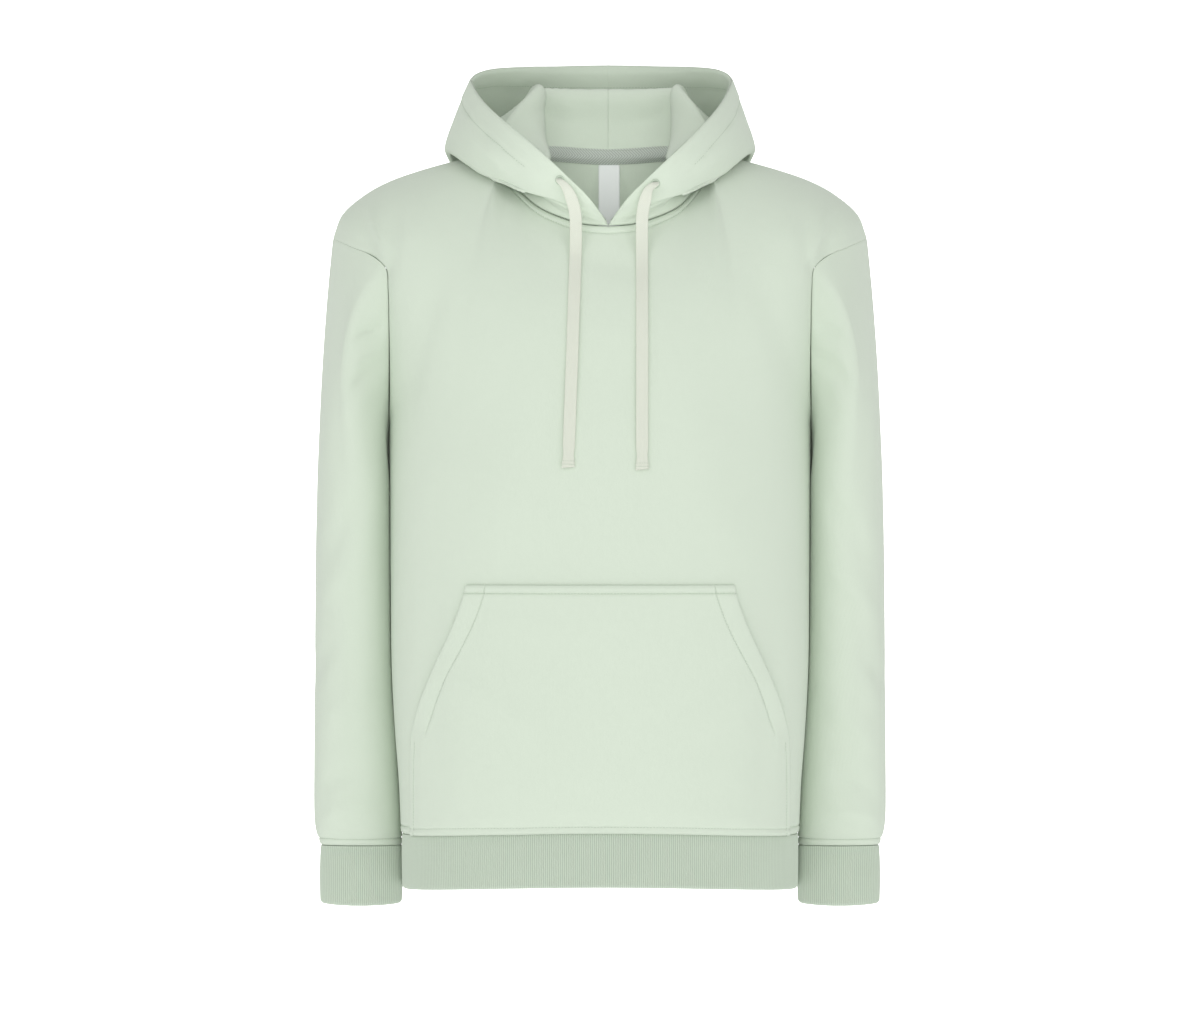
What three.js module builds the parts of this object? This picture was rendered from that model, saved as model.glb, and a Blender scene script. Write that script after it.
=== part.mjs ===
import * as THREE from 'three'

// Sizes in millimetres. The origin is the middle of the neck, level with the
// shoulder points. The front faces -Y, up is +Z, and +X is the wearer's left.
const bodyCloth = 2.0
const hoodCloth = 1.8
const ribCloth = 3.0
const tapeCloth = 1.0
const labelCloth = 0.8
const seamGap = 0.34
const layGap = 0.6
const ringPower = 2.4
const sleevePower = 2.2
const neckShift = 8
const bandHeight = 52.4
const cuffHeight = 56
const cordWidth = 11.6
const cordThickness = 2.4
const eyeletRadius = 4.6
const eyeletHole = 2.3
const eyeletThickness = 1.4
const eyeletRound = 0.6

const jersey = { color: '#d6e2d1', roughness: 0.95 }
const ribKnit = { color: '#c8d6c4', roughness: 0.95 }
const cordCloth = { color: '#e6e8dc', roughness: 0.9 }
const labelWhite = { color: '#f5faf7', roughness: 0.8 }

// Torso rings by height: half width at the side seams, depth in front and behind.
const torso = [
  { z: -200, side: 202, front: 138, back: 121 },
  { z: -270, side: 204, front: 140, back: 122 },
  { z: -345, side: 203.5, front: 138.5, back: 120 },
  { z: -410, side: 203, front: 135.5, back: 118 },
  { z: -500, side: 202, front: 132, back: 116 },
  { z: -560, side: 199, front: 128.5, back: 115 },
  { z: -613, side: 195, front: 125, back: 113.5 },
  { z: -645, side: 193.5, front: 121.5, back: 111 },
  { z: -656, side: 193, front: 119, back: 109.5 },
  { z: -664, side: 191.5, front: 114.5, back: 106.5 },
]

// Half of the neck seam from the front middle to the back middle.
const neckSeam = [
  { x: 0, y: -98, z: -81 },
  { x: -24, y: -96, z: -79 },
  { x: -46, y: -88, z: -72 },
  { x: -66, y: -75, z: -62 },
  { x: -81, y: -59, z: -48 },
  { x: -92, y: -41, z: -34 },
  { x: -97, y: -22, z: -18 },
  { x: -97, y: 0, z: -6 },
  { x: -90, y: 22, z: -3 },
  { x: -74, y: 43, z: -2 },
  { x: -50, y: 60, z: -2 },
  { x: -26, y: 69, z: -3 },
  { x: 0, y: 72, z: -4 },
]
const frontNeckSteps = 7

// Shoulder seam from the neck out to the dropped shoulder point.
const shoulderSeam = [
  { x: -97, y: 0, z: -6 },
  { x: -135, y: 2, z: -11 },
  { x: -172, y: 3, z: -20.5 },
  { x: -205, y: 3, z: -32 },
  { x: -230, y: 2, z: -46 },
  { x: -251, y: 1, z: -65 },
  { x: -259, y: 0, z: -88 },
]

// Armhole seam in front, from the shoulder point down to the underarm.
const armholeSeam = [
  { x: -259, y: 0, z: -88 },
  { x: -249, y: -27, z: -93 },
  { x: -237, y: -47, z: -99 },
  { x: -223, y: -62, z: -105 },
  { x: -211, y: -72, z: -113 },
  { x: -204, y: -76, z: -122 },
  { x: -202.5, y: -75, z: -138 },
  { x: -202, y: -72, z: -155 },
  { x: -202, y: -67, z: -172 },
  { x: -202, y: -60, z: -190 },
  { x: -202.3, y: -51, z: -212 },
  { x: -203, y: -39, z: -237 },
  { x: -203.7, y: -23, z: -260 },
  { x: -204, y: 0, z: -270 },
]
const chestRow = 9
const backArmhole = 0.95

// Heights of the side seam below the underarm, down to the hem seam.
const sideHeights = [-305, -345, -390, -440, -490, -535, -580, -620, -645, -656, -664]

// Sleeve sections by height: the outer and inner edge, the front and back edge.
const sleeve = [
  { z: -330, outer: 275, inner: 199, front: -58, back: 92 },
  { z: -385, outer: 276.3, inner: 199, front: -50, back: 86 },
  { z: -440, outer: 277, inner: 198.5, front: -40, back: 80 },
  { z: -535, outer: 278, inner: 197, front: -24, back: 70 },
  { z: -600, outer: 278.5, inner: 195, front: -15, back: 64 },
  { z: -645, outer: 278.5, inner: 193.5, front: -10.5, back: 60 },
  { z: -662, outer: 277, inner: 193, front: -7, back: 56.5 },
  { z: -671, outer: 274, inner: 193, front: -1, back: 50.5 },
  { z: -677, outer: 271.8, inner: 193.2, front: 3, back: 47 },
]
const sleeveRings = [-330, -365, -400, -440, -480, -520, -560, -600, -630, -650, -662, -671, -677]
const capSteps = 8
const torsoClearance = 1.4

// Pocket: half width by height, from the top edge to the hem seam.
const pocketWidths = [
  { z: -422, half: 127 },
  { z: -433, half: 129 },
  { z: -457, half: 137 },
  { z: -485, half: 149 },
  { z: -516, half: 163 },
  { z: -530, half: 169 },
  { z: -547, half: 174.5 },
  { z: -570, half: 180 },
  { z: -656, half: 181 },
]

// Right half of the hood, a row for each station round the neck seam. The cloth
// goes from the seam by the bulge up to the crest, down to the fold, out by the
// swell and up to the rim. Folded is how far the station takes part in that roll.
const hood = [
  { seam: [0, -98, -81], fold: [-1.5, -99.3, -78.8], swell: [-2.2, -100.5, -77.2],
    rim: [-2.6, -101.6, -75.6], folded: 0 },
  { seam: [-24, -96, -79], fold: [-27, -103, -71], swell: [-24, -107.5, -63.5],
    rim: [-18, -109, -55], folded: 0 },
  { seam: [-46, -88, -72], bulge: [-47, -89, -66], crest: [-50, -90, -59],
    drop: [-53, -95, -58], fold: [-54, -101, -62], swell: [-52, -104, -50],
    rim: [-37, -108, -36], folded: 0.5, roll: 2 },
  { seam: [-66, -75, -62], bulge: [-64, -78, -52], crest: [-75, -75, -42],
    drop: [-80, -80, -44], fold: [-80, -90, -51], swell: [-77, -97, -32],
    rim: [-62, -99, -12], folded: 0.95, roll: 2.2 },
  { seam: [-81, -59, -48], bulge: [-62, -72, -28], crest: [-93, -55, -20],
    drop: [-99, -62, -29], fold: [-107, -72, -37], swell: [-108, -78, -8],
    rim: [-92, -70, 17], folded: 1, roll: 3 },
  { seam: [-92, -41, -34], bulge: [-57, -35, -12], crest: [-101, -28, -2],
    drop: [-114, -38, -13], fold: [-128, -48, -20], swell: [-129, -48, 12],
    rim: [-112, -38, 39], folded: 1, roll: 4 },
  { seam: [-97, -22, -18], bulge: [-59, -6, -4], crest: [-98, 2, 20],
    drop: [-119, -6, 3], fold: [-142, -18, -8], swell: [-140, -12, 26],
    rim: [-124, 0, 59], folded: 1, roll: 4 },
  { seam: [-97, 0, -6], bulge: [-62, 22, 8], crest: [-84, 26, 43],
    drop: [-116, 22, 18], fold: [-146, 14, -7], swell: [-140, 18, 36],
    rim: [-126, 30, 72], folded: 1, roll: 5 },
  { seam: [-90, 22, -3], bulge: [-66, 45, 25], crest: [-68, 50, 63.5],
    drop: [-100, 56, 26], fold: [-142, 50, -16], swell: [-137, 58, 36],
    rim: [-111, 62, 82], folded: 1, roll: 5 },
  { seam: [-74, 43, -2], bulge: [-71, 58, 30], crest: [-72, 70, 63.5],
    drop: [-96, 82, 12], fold: [-126, 86, -52], swell: [-120, 98, 22],
    rim: [-81, 92, 87], folded: 1, roll: 6 },
  { seam: [-50, 60, -2], bulge: [-50, 70, 30], crest: [-50, 80, 63],
    drop: [-70, 99, -8], fold: [-91, 117, -103], swell: [-88, 132, -8],
    rim: [-50, 110, 89], folded: 1, roll: 7 },
  { seam: [-26, 69, -3], bulge: [-26, 76, 30], crest: [-26, 83, 62.5],
    drop: [-36, 104, -24], fold: [-47, 130, -127], swell: [-46, 148, -18],
    rim: [-25, 119, 90.5], folded: 1, roll: 7 },
  { seam: [0, 72, -4], bulge: [0, 77, 30], crest: [0, 84, 62.5],
    drop: [0, 105, -34], fold: [0, 135, -137], swell: [0, 153, -24],
    rim: [0, 122, 91], folded: 1, roll: 7 },
]
const hoodSteps = [3, 3, 2, 2, 2, 2, 2, 2, 3, 3]

function point(x, y, z) {
  return new THREE.Vector3(x, y, z)
}

function rowPoint(row) {
  return point(row.x, row.y, row.z)
}

function smoothstep(from, to, value) {
  const t = Math.min(1, Math.max(0, (value - from) / (to - from)))
  return t * t * (3 - 2 * t)
}

// Smooth reading of one column of a table that is ordered by falling height.
function read(table, column, z) {
  const last = table.length - 1
  if (z >= table[0].z) return table[0][column]
  if (z <= table[last].z) return table[last][column]
  let i = 0
  while (table[i + 1].z > z) i += 1
  const slope = (a, b) => (table[b][column] - table[a][column]) / (table[b].z - table[a].z)
  const before = i > 0 ? slope(i - 1, i + 1) : slope(i, i + 1)
  const after = i + 2 <= last ? slope(i, i + 2) : slope(i, i + 1)
  const span = table[i + 1].z - table[i].z
  const t = (z - table[i].z) / span
  const t2 = t * t
  const t3 = t2 * t
  const start = (2 * t3 - 3 * t2 + 1) * table[i][column] + (t3 - 2 * t2 + t) * span * before
  return start + (3 * t2 - 2 * t3) * table[i + 1][column] + (t3 - t2) * span * after
}

// The neck and hood sit a little to the wearer's left, as they hang in the photo.
function settle(p) {
  const inner = 1 - smoothstep(60, 150, Math.abs(p.x))
  p.x += neckShift * inner * smoothstep(-260, -110, p.z)
  return p
}

// Quarter of a torso ring from its middle to its side by even cloth length. Beside
// an armhole the ring is cut short where it meets the seam.
function quarterRing(middle, side, fractions) {
  const fine = []
  const count = 90
  const cut = Math.abs(side.y / middle.y)
  const lastTurn = Math.acos(Math.pow(cut, ringPower / 2))
  const reach = Math.pow(Math.sin(lastTurn), 2 / ringPower)
  for (let i = 0; i <= count; i += 1) {
    const turn = (i / count) * lastTurn
    const across = Math.pow(Math.sin(turn), 2 / ringPower) / reach
    const deep = Math.pow(Math.cos(turn), 2 / ringPower)
    const x = middle.x + (side.x - middle.x) * across
    const z = middle.z + (side.z - middle.z) * across * across
    fine.push(point(x, middle.y * deep, z))
  }
  return evenPoints(fine, fractions)
}

// Points at the given fractions of the length of a polyline.
function evenPoints(line, fractions) {
  const lengths = [0]
  for (let i = 1; i < line.length; i += 1) {
    lengths.push(lengths[i - 1] + line[i].distanceTo(line[i - 1]))
  }
  const total = lengths[lengths.length - 1]
  return fractions.map((fraction) => {
    const at = fraction * total
    let i = 0
    while (i < line.length - 2 && lengths[i + 1] < at) i += 1
    const part = (at - lengths[i]) / Math.max(1e-9, lengths[i + 1] - lengths[i])
    return line[i].clone().lerp(line[i + 1], Math.min(1, Math.max(0, part)))
  })
}

// Half of a body panel, x below zero. Facing is -1 for the front and 1 for the back.
// Above the chest row the cloth leaves the chest upwards, leaning back towards the
// side, and arrives at the neck or shoulder seam along a slope of its own.
const neckShare = 0.58
const chestLevel = { front: -200, back: -196 }
const hemLevel = { front: -657, back: -665 }
const chestLean = { middle: -0.03, side: 0.36 }
const chestReach = { neck: 0.36, shoulder: 0.42 }
const seamReach = { neck: 0.3, shoulder: 0.34 }
const levelBelow = 0.9

function arrival(facing, onNeck) {
  const sideways = 2 * onNeck * (1 - onNeck)
  if (facing < 0) return point(0.55 * sideways, 1 - 0.45 * onNeck, 0.1 + 0.85 * onNeck)
  return point(0.5 * sideways, 0.62 * onNeck - 1, 0.1 + 0.95 * onNeck)
}

function halfPanel(facing) {
  const neck = facing < 0
    ? neckSeam.slice(0, frontNeckSteps + 1)
    : neckSeam.slice(frontNeckSteps).reverse()
  const neckSteps = neck.length - 1
  const shoulderSteps = shoulderSeam.length - 1
  const top = neck.concat(shoulderSeam.slice(1)).map(rowPoint)
  const fractions = top.map((p, j) => (j <= neckSteps
    ? neckShare * j / neckSteps
    : neckShare + (1 - neckShare) * (j - neckSteps) / shoulderSteps))
  const armhole = armholeSeam.map((row) => {
    const y = facing < 0 ? row.y : -row.y * backArmhole
    return point(row.x, y, row.z)
  })
  const depth = facing < 0 ? 'front' : 'back'
  const chestZ = chestLevel[depth]
  const chest = quarterRing(point(0, facing * read(torso, depth, chestZ), chestZ),
    armhole[chestRow], fractions)
  const rows = []
  for (let i = 0; i < chestRow; i += 1) rows.push([])
  const outer = []
  top.forEach((end, j) => {
    const onNeck = j < neckSteps ? 1 - j / neckSteps : 0
    const start = chest[j]
    const reach = start.distanceTo(end)
    const lean = chestLean.middle + chestLean.side * Math.pow(fractions[j], 4)
    const rise = point(0, facing * lean, 1)
    const arrive = arrival(facing, onNeck).normalize()
    const part = (reaches) => reaches.shoulder + (reaches.neck - reaches.shoulder) * onNeck
    const lower = start.clone().addScaledVector(rise, reach * part(chestReach))
    const upper = end.clone().addScaledVector(arrive, -reach * part(seamReach))
    for (let i = 0; i < chestRow; i += 1) {
      const t = i / chestRow
      const s = 1 - t
      const p = end.clone().multiplyScalar(s * s * s)
      p.addScaledVector(upper, 3 * s * s * t)
      p.addScaledVector(lower, 3 * s * t * t)
      p.addScaledVector(start, t * t * t)
      rows[i].push(p)
    }
  })
  const last = top.length - 1
  for (let i = 0; i < chestRow; i += 1) outer.push(armhole[i].clone().sub(rows[i][last]))
  for (let i = 1; i < chestRow; i += 1) {
    for (let j = 0; j <= last; j += 1) {
      const near = smoothstep(neckShare, 1, fractions[j])
      rows[i][j].addScaledVector(outer[i], near)
    }
  }
  rows.push(chest)
  const sides = armhole.slice(chestRow + 1)
  sideHeights.forEach((z) => sides.push(point(-read(torso, 'side', z), 0, z)))
  sides.forEach((side) => {
    const low = armhole[chestRow].z
    const hem = sideHeights[sideHeights.length - 1]
    const t = (side.z - low) / (hem - low)
    const z = chestZ + (hemLevel[depth] - chestZ) * t
    const level = t > levelBelow ? side.z : z
    const y = facing * read(torso, depth, level)
    rows.push(quarterRing(point(0, y, z), side, fractions))
  })
  return rows
}

// Whole panel from the two halves, from the wearer's right over to the left.
function fullPanel(facing) {
  return halfPanel(facing).map((row) => {
    const right = row.map((p) => p.clone()).reverse()
    const left = row.slice(1).map((p) => point(-p.x, p.y, p.z))
    return right.concat(left)
  })
}

// Half width of the torso at a height and depth, as the sleeve meets it.
function torsoSide(y, z) {
  const depth = read(torso, y < 0 ? 'front' : 'back', z)
  const part = Math.min(1, Math.abs(y) / depth)
  return read(torso, 'side', z) * Math.pow(1 - Math.pow(part, ringPower), 1 / ringPower)
}

function sleeveRing(z, count) {
  const ring = []
  const outer = read(sleeve, 'outer', z)
  const inner = read(sleeve, 'inner', z)
  const front = read(sleeve, 'front', z)
  const back = read(sleeve, 'back', z)
  for (let i = 0; i < count; i += 1) {
    const turn = (i / count) * Math.PI * 2
    const c = Math.cos(turn)
    const s = Math.sin(turn)
    const along = Math.sign(c) * Math.pow(Math.abs(c), 2 / sleevePower)
    const deep = Math.sign(s) * Math.pow(Math.abs(s), 2 / sleevePower)
    const x = -(outer + inner) / 2 - along * (outer - inner) / 2
    const y = (front + back) / 2 - deep * (back - front) / 2
    ring.push(point(Math.min(x, -torsoSide(y, z) - torsoClearance), y, z))
  }
  return ring
}

// Right sleeve: rings from the armhole seam over the cap and down to the cuff seam.
function sleeveGrid() {
  const front = armholeSeam.map(rowPoint)
  const back = armholeSeam.slice(1, -1).reverse()
    .map((row) => point(row.x, -row.y * backArmhole, row.z))
  const seam = front.concat(back)
  const count = seam.length
  const first = sleeveRing(sleeveRings[0], count)
  const below = sleeveRing(sleeveRings[0] - 20, count)
  const rings = []
  for (let k = 0; k < capSteps; k += 1) {
    const t = k / capSteps
    const t2 = t * t
    const t3 = t2 * t
    rings.push(seam.map((start, i) => {
      const turn = (i / count) * Math.PI * 2
      const flank = Math.sin(turn)
      const reach = start.distanceTo(first[i])
      const leave = point(-0.11 - 0.75 * flank * flank, -0.2 * flank, -1 + 0.45 * flank * flank)
      leave.normalize().multiplyScalar(reach)
      const arrive = below[i].clone().sub(first[i]).normalize().multiplyScalar(reach)
      const p = start.clone().multiplyScalar(2 * t3 - 3 * t2 + 1)
      p.addScaledVector(leave, t3 - 2 * t2 + t)
      p.addScaledVector(first[i], 3 * t2 - 2 * t3)
      p.addScaledVector(arrive, t3 - t2)
      if (k > 0 && p.z < -250) p.x = Math.min(p.x, -torsoSide(p.y, p.z) - torsoClearance)
      return p
    }))
  }
  sleeveRings.forEach((z) => rings.push(sleeveRing(z, count)))
  return rings
}

// Cuff: it takes the last sleeve ring and hangs below it, lower at the front.
const ribParts = [0.12, 0.5, 0.92, 1]
const cuffMiddle = { x: -232.6, y: 25 }
const cuffSwell = 0.02
const cuffDip = 2.5
function cuffGrid(top) {
  const rows = [top.map((p) => p.clone())]
  ribParts.forEach((part) => {
    rows.push(top.map((p, i) => {
      const turn = (i / top.length) * Math.PI * 2
      const dip = cuffDip * Math.sin(turn) * part
      const wider = 1 + cuffSwell * Math.sin(part * Math.PI)
      const x = cuffMiddle.x + (p.x - cuffMiddle.x) * wider
      const y = cuffMiddle.y + (p.y - cuffMiddle.y) * wider
      return point(x - 0.3 * part, y, p.z - cuffHeight * part - dip)
    }))
  })
  return rows
}

// Hem band: it takes the lowest row of both panels and hangs below it.
const bandDraw = 0.008
const bandSwell = 0.004
function bandGrid(front, back) {
  const top = front[front.length - 1].concat(back[back.length - 1].slice(1, -1).reverse())
  const rows = [top.map((p) => p.clone())]
  ribParts.forEach((part) => {
    const draw = 1 - bandDraw * part + bandSwell * Math.sin(part * Math.PI)
    rows.push(top.map((p) => point(p.x * draw, p.y * draw, p.z - bandHeight * part)))
  })
  return rows
}

// Curve through control points with steps set for each span.
function curveThrough(controls, steps) {
  const line = []
  const last = controls.length - 1
  for (let i = 0; i < last; i += 1) {
    const a = controls[Math.max(0, i - 1)]
    const b = controls[i]
    const c = controls[i + 1]
    const d = controls[Math.min(last, i + 2)]
    const span = Math.sqrt(b.distanceTo(c))
    const spanBefore = Math.sqrt(Math.max(1e-6, a.distanceTo(b)))
    const spanAfter = Math.sqrt(Math.max(1e-6, c.distanceTo(d)))
    const ends = tangents(a, b, c, d, spanBefore, span, spanAfter)
    for (let k = 0; k < steps[i]; k += 1) {
      line.push(hermite(b, c, ends[0], ends[1], k / steps[i]))
    }
  }
  line.push(controls[last].clone())
  return line
}

function tangents(a, b, c, d, before, span, after) {
  const edge = c.clone().sub(b)
  let start = edge.clone()
  let end = edge.clone()
  if (a !== b) {
    start = b.clone().sub(a).multiplyScalar(1 / before)
    start.sub(c.clone().sub(a).multiplyScalar(1 / (before + span)))
    start.add(edge.clone().multiplyScalar(1 / span)).multiplyScalar(span)
  }
  if (d !== c) {
    end = edge.clone().multiplyScalar(1 / span)
    end.sub(d.clone().sub(b).multiplyScalar(1 / (span + after)))
    end.add(d.clone().sub(c).multiplyScalar(1 / after)).multiplyScalar(span)
  }
  return [start, end]
}

function hermite(b, c, start, end, t) {
  const t2 = t * t
  const t3 = t2 * t
  const p = b.clone().multiplyScalar(2 * t3 - 3 * t2 + 1)
  p.addScaledVector(start, t3 - 2 * t2 + t)
  p.addScaledVector(c, 3 * t2 - 2 * t3)
  return p.addScaledVector(end, t3 - t2)
}

// One station of the hood: the plain way from seam to rim, or the rolled way.
function hoodProfile(row) {
  const get = (name) => point(...row[name])
  const count = hoodSteps.reduce((sum, n) => sum + n, 0)
  const fractions = []
  for (let i = 0; i <= count; i += 1) fractions.push(i / count)
  const plainFine = curveThrough([get('seam'), get('fold'), get('swell'), get('rim')], [8, 8, 8])
  const plain = evenPoints(plainFine, fractions)
  if (row.folded === 0) return plain
  const roll = row.roll
  const over = get('drop').sub(get('bulge')).setZ(0).normalize().multiplyScalar(roll)
  const under = get('swell').sub(get('drop')).setZ(0).normalize().multiplyScalar(roll)
  const crest = get('crest')
  const fold = get('fold')
  const rolled = curveThrough([
    get('seam'),
    get('bulge'),
    crest.clone().sub(over).add(point(0, 0, -roll)),
    crest,
    crest.clone().add(over).add(point(0, 0, -roll)),
    get('drop'),
    fold.clone().sub(under).add(point(0, 0, roll)),
    fold,
    fold.clone().add(under).add(point(0, 0, roll)),
    get('swell'),
    get('rim'),
  ], hoodSteps)
  return rolled.map((p, i) => plain[i].clone().lerp(p, row.folded))
}

function hoodGrid() {
  const stations = hood.map(hoodProfile)
  return stations[0].map((unused, i) => stations.map((station) => station[i]))
}

function mirrored(grid) {
  return grid.map((row) => row.map((p) => point(-p.x, p.y, p.z)))
}

// A cloth piece: a grid of points on its outer face, its thickness and its finish.
function piece(name, grid, thickness, finish, options = {}) {
  grid.forEach((row) => row.forEach(settle))
  return clothOf(name, grid, thickness, finish, options)
}

function clothOf(name, grid, thickness, finish, options = {}) {
  const normals = grid.map((row, i) => row.map((p, j) => {
    const rowSpan = spanAt(grid, i, j, true, false)
    const columnSpan = spanAt(grid, i, j, false, options.ring)
    const n = columnSpan.cross(rowSpan).normalize()
    return options.flip ? n.negate() : n
  }))
  const { ring, flip, pull = 1 } = options
  return { name, grid, normals, thickness, finish, ring, flip, pull }
}

function spanAt(grid, i, j, alongRows, ring) {
  const columns = grid[0].length
  if (alongRows) {
    const low = Math.max(0, i - 1)
    const high = Math.min(grid.length - 1, i + 1)
    return grid[high][j].clone().sub(grid[low][j])
  }
  const before = ring ? (j + columns - 1) % columns : Math.max(0, j - 1)
  const after = ring ? (j + 1) % columns : Math.min(columns - 1, j + 1)
  return grid[i][after].clone().sub(grid[i][before])
}

function onEdge(cloth, i, j) {
  const rowEdge = i === 0 || i === cloth.grid.length - 1
  const columnEdge = j === 0 || j === cloth.grid[0].length - 1
  return rowEdge || (columnEdge && !cloth.ring)
}

// Where pieces meet, they share one edge direction and are drawn apart by the seam gap.
function joinSeams(cloths) {
  const places = new Map()
  cloths.forEach((cloth) => cloth.grid.forEach((row, i) => row.forEach((p, j) => {
    if (!onEdge(cloth, i, j)) return
    const key = [p.x, p.y, p.z].map((value) => Math.round(value * 50)).join(' ')
    if (!places.has(key)) places.set(key, [])
    places.get(key).push({ cloth, i, j })
  })))
  const moves = []
  places.forEach((members) => {
    if (members.length < 2) return
    const shared = point(0, 0, 0)
    members.forEach((m) => shared.add(m.cloth.normals[m.i][m.j]))
    shared.normalize()
    members.forEach((m) => {
      m.cloth.normals[m.i][m.j].copy(shared)
      moves.push({ at: m.cloth.grid[m.i][m.j], by: seamMove(m.cloth, m.i, m.j) })
    })
  })
  moves.forEach((move) => move.at.add(move.by))
}

function seamMove(cloth, i, j) {
  const grid = cloth.grid
  const move = point(0, 0, 0)
  const inward = (next, along) => {
    const way = next.clone().sub(grid[i][j])
    const tangent = along.normalize()
    way.addScaledVector(tangent, -way.dot(tangent))
    move.addScaledVector(way.normalize(), cloth.pull * seamGap / 2)
  }
  if (i === 0) inward(grid[1][j], spanAt(grid, i, j, false, cloth.ring))
  if (i === grid.length - 1) inward(grid[i - 1][j], spanAt(grid, i, j, false, cloth.ring))
  if (cloth.ring) return move
  if (j === 0) inward(grid[i][1], spanAt(grid, i, j, true, false))
  if (j === grid[0].length - 1) inward(grid[i][j - 1], spanAt(grid, i, j, true, false))
  return move
}

// Closed wall from a cloth piece: the outer face, the inner face and the edges.
function wallMesh(cloth) {
  const rows = cloth.grid.length
  const columns = cloth.grid[0].length
  const positions = []
  cloth.grid.forEach((row) => row.forEach((p) => positions.push(p.x, p.y, p.z)))
  cloth.grid.forEach((row, i) => row.forEach((p, j) => {
    const q = p.clone().addScaledVector(cloth.normals[i][j], -cloth.thickness)
    positions.push(q.x, q.y, q.z)
  }))
  const faces = []
  const quad = (a, b, c, d) => {
    if (cloth.flip) faces.push(a, c, b, a, d, c)
    else faces.push(a, b, c, a, c, d)
  }
  const outer = (i, j) => i * columns + (j % columns)
  const inner = (i, j) => rows * columns + outer(i, j)
  const spans = cloth.ring ? columns : columns - 1
  for (let i = 0; i < rows - 1; i += 1) {
    for (let j = 0; j < spans; j += 1) {
      quad(outer(i, j), outer(i, j + 1), outer(i + 1, j + 1), outer(i + 1, j))
      quad(inner(i, j), inner(i + 1, j), inner(i + 1, j + 1), inner(i, j + 1))
    }
  }
  for (let j = 0; j < spans; j += 1) {
    const low = rows - 1
    quad(outer(0, j), inner(0, j), inner(0, j + 1), outer(0, j + 1))
    quad(outer(low, j), outer(low, j + 1), inner(low, j + 1), inner(low, j))
  }
  if (!cloth.ring) {
    const far = columns - 1
    for (let i = 0; i < rows - 1; i += 1) {
      quad(outer(i, 0), outer(i + 1, 0), inner(i + 1, 0), inner(i, 0))
      quad(outer(i, far), inner(i, far), inner(i + 1, far), outer(i + 1, far))
    }
  }
  return solid(cloth.name, positions, faces, cloth.finish)
}

function solid(name, positions, faces, finish) {
  const geometry = new THREE.BufferGeometry()
  geometry.setAttribute('position', new THREE.Float32BufferAttribute(positions, 3))
  geometry.setIndex(faces)
  geometry.computeVertexNormals()
  const material = new THREE.MeshStandardMaterial({
    color: finish.color,
    roughness: finish.roughness,
    metalness: 0,
  })
  const mesh = new THREE.Mesh(geometry, material)
  mesh.name = name
  return mesh
}

// Body panels, sleeves, cuffs and hem band, then the two halves of the hood.
const frontRows = fullPanel(-1)
const backRows = fullPanel(1)
const sleeveRows = sleeveGrid()
const cuffRows = cuffGrid(sleeveRows[sleeveRows.length - 1])
const hoodRows = hoodGrid()
const bandRows = bandGrid(frontRows, backRows)

const front = piece('front', frontRows, bodyCloth, jersey, { flip: true })
const back = piece('back', backRows, bodyCloth, jersey, { flip: false })
const sleeves = [
  piece('sleeve_right', sleeveRows, bodyCloth, jersey, { ring: true, flip: true }),
  piece('sleeve_left', mirrored(sleeveRows), bodyCloth, jersey, { ring: true, flip: false }),
]
const cuffs = [
  piece('cuff_right', cuffRows, ribCloth, ribKnit, { ring: true, flip: true }),
  piece('cuff_left', mirrored(cuffRows), ribCloth, ribKnit, { ring: true, flip: false }),
]
const band = piece('hem_band', bandRows, ribCloth, ribKnit, { ring: true, flip: true })
const leftHoodRows = mirrored(hoodRows)
const hoods = [
  piece('hood_right', hoodRows, hoodCloth, jersey, { flip: true, pull: 2.6 }),
  piece('hood_left', leftHoodRows, hoodCloth, jersey, { flip: false, pull: 2.6 }),
]
const cloths = [front, back, ...sleeves, ...cuffs, band, ...hoods]
joinSeams(cloths)

// Place on the outer face of a front piece, looked for along Y at x and z.
function placeOn(cloth, x, z) {
  let best = null
  for (let i = 0; i < cloth.grid.length - 1; i += 1) {
    for (let j = 0; j < cloth.grid[0].length - 1; j += 1) {
      const corners = [[i, j], [i, j + 1], [i + 1, j + 1], [i + 1, j]]
      const found = [[0, 1, 2], [0, 2, 3]]
        .map((triple) => inTriangle(cloth, triple.map((n) => corners[n]), x, z))
      found.forEach((hit) => {
        if (hit && (!best || hit.at.y < best.at.y)) best = hit
      })
    }
  }
  return best
}

function inTriangle(cloth, corners, x, z) {
  const [a, b, c] = corners.map(([i, j]) => cloth.grid[i][j])
  const area = (b.x - a.x) * (c.z - a.z) - (c.x - a.x) * (b.z - a.z)
  if (Math.abs(area) < 1e-9) return null
  const u = ((x - a.x) * (c.z - a.z) - (c.x - a.x) * (z - a.z)) / area
  const v = ((b.x - a.x) * (z - a.z) - (x - a.x) * (b.z - a.z)) / area
  if (u < -1e-6 || v < -1e-6 || u + v > 1 + 1e-6) return null
  const shares = [1 - u - v, u, v]
  const at = point(0, 0, 0)
  const normal = point(0, 0, 0)
  corners.forEach(([i, j], n) => {
    at.addScaledVector(cloth.grid[i][j], shares[n])
    normal.addScaledVector(cloth.normals[i][j], shares[n])
  })
  return { at, normal: normal.normalize() }
}

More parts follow.
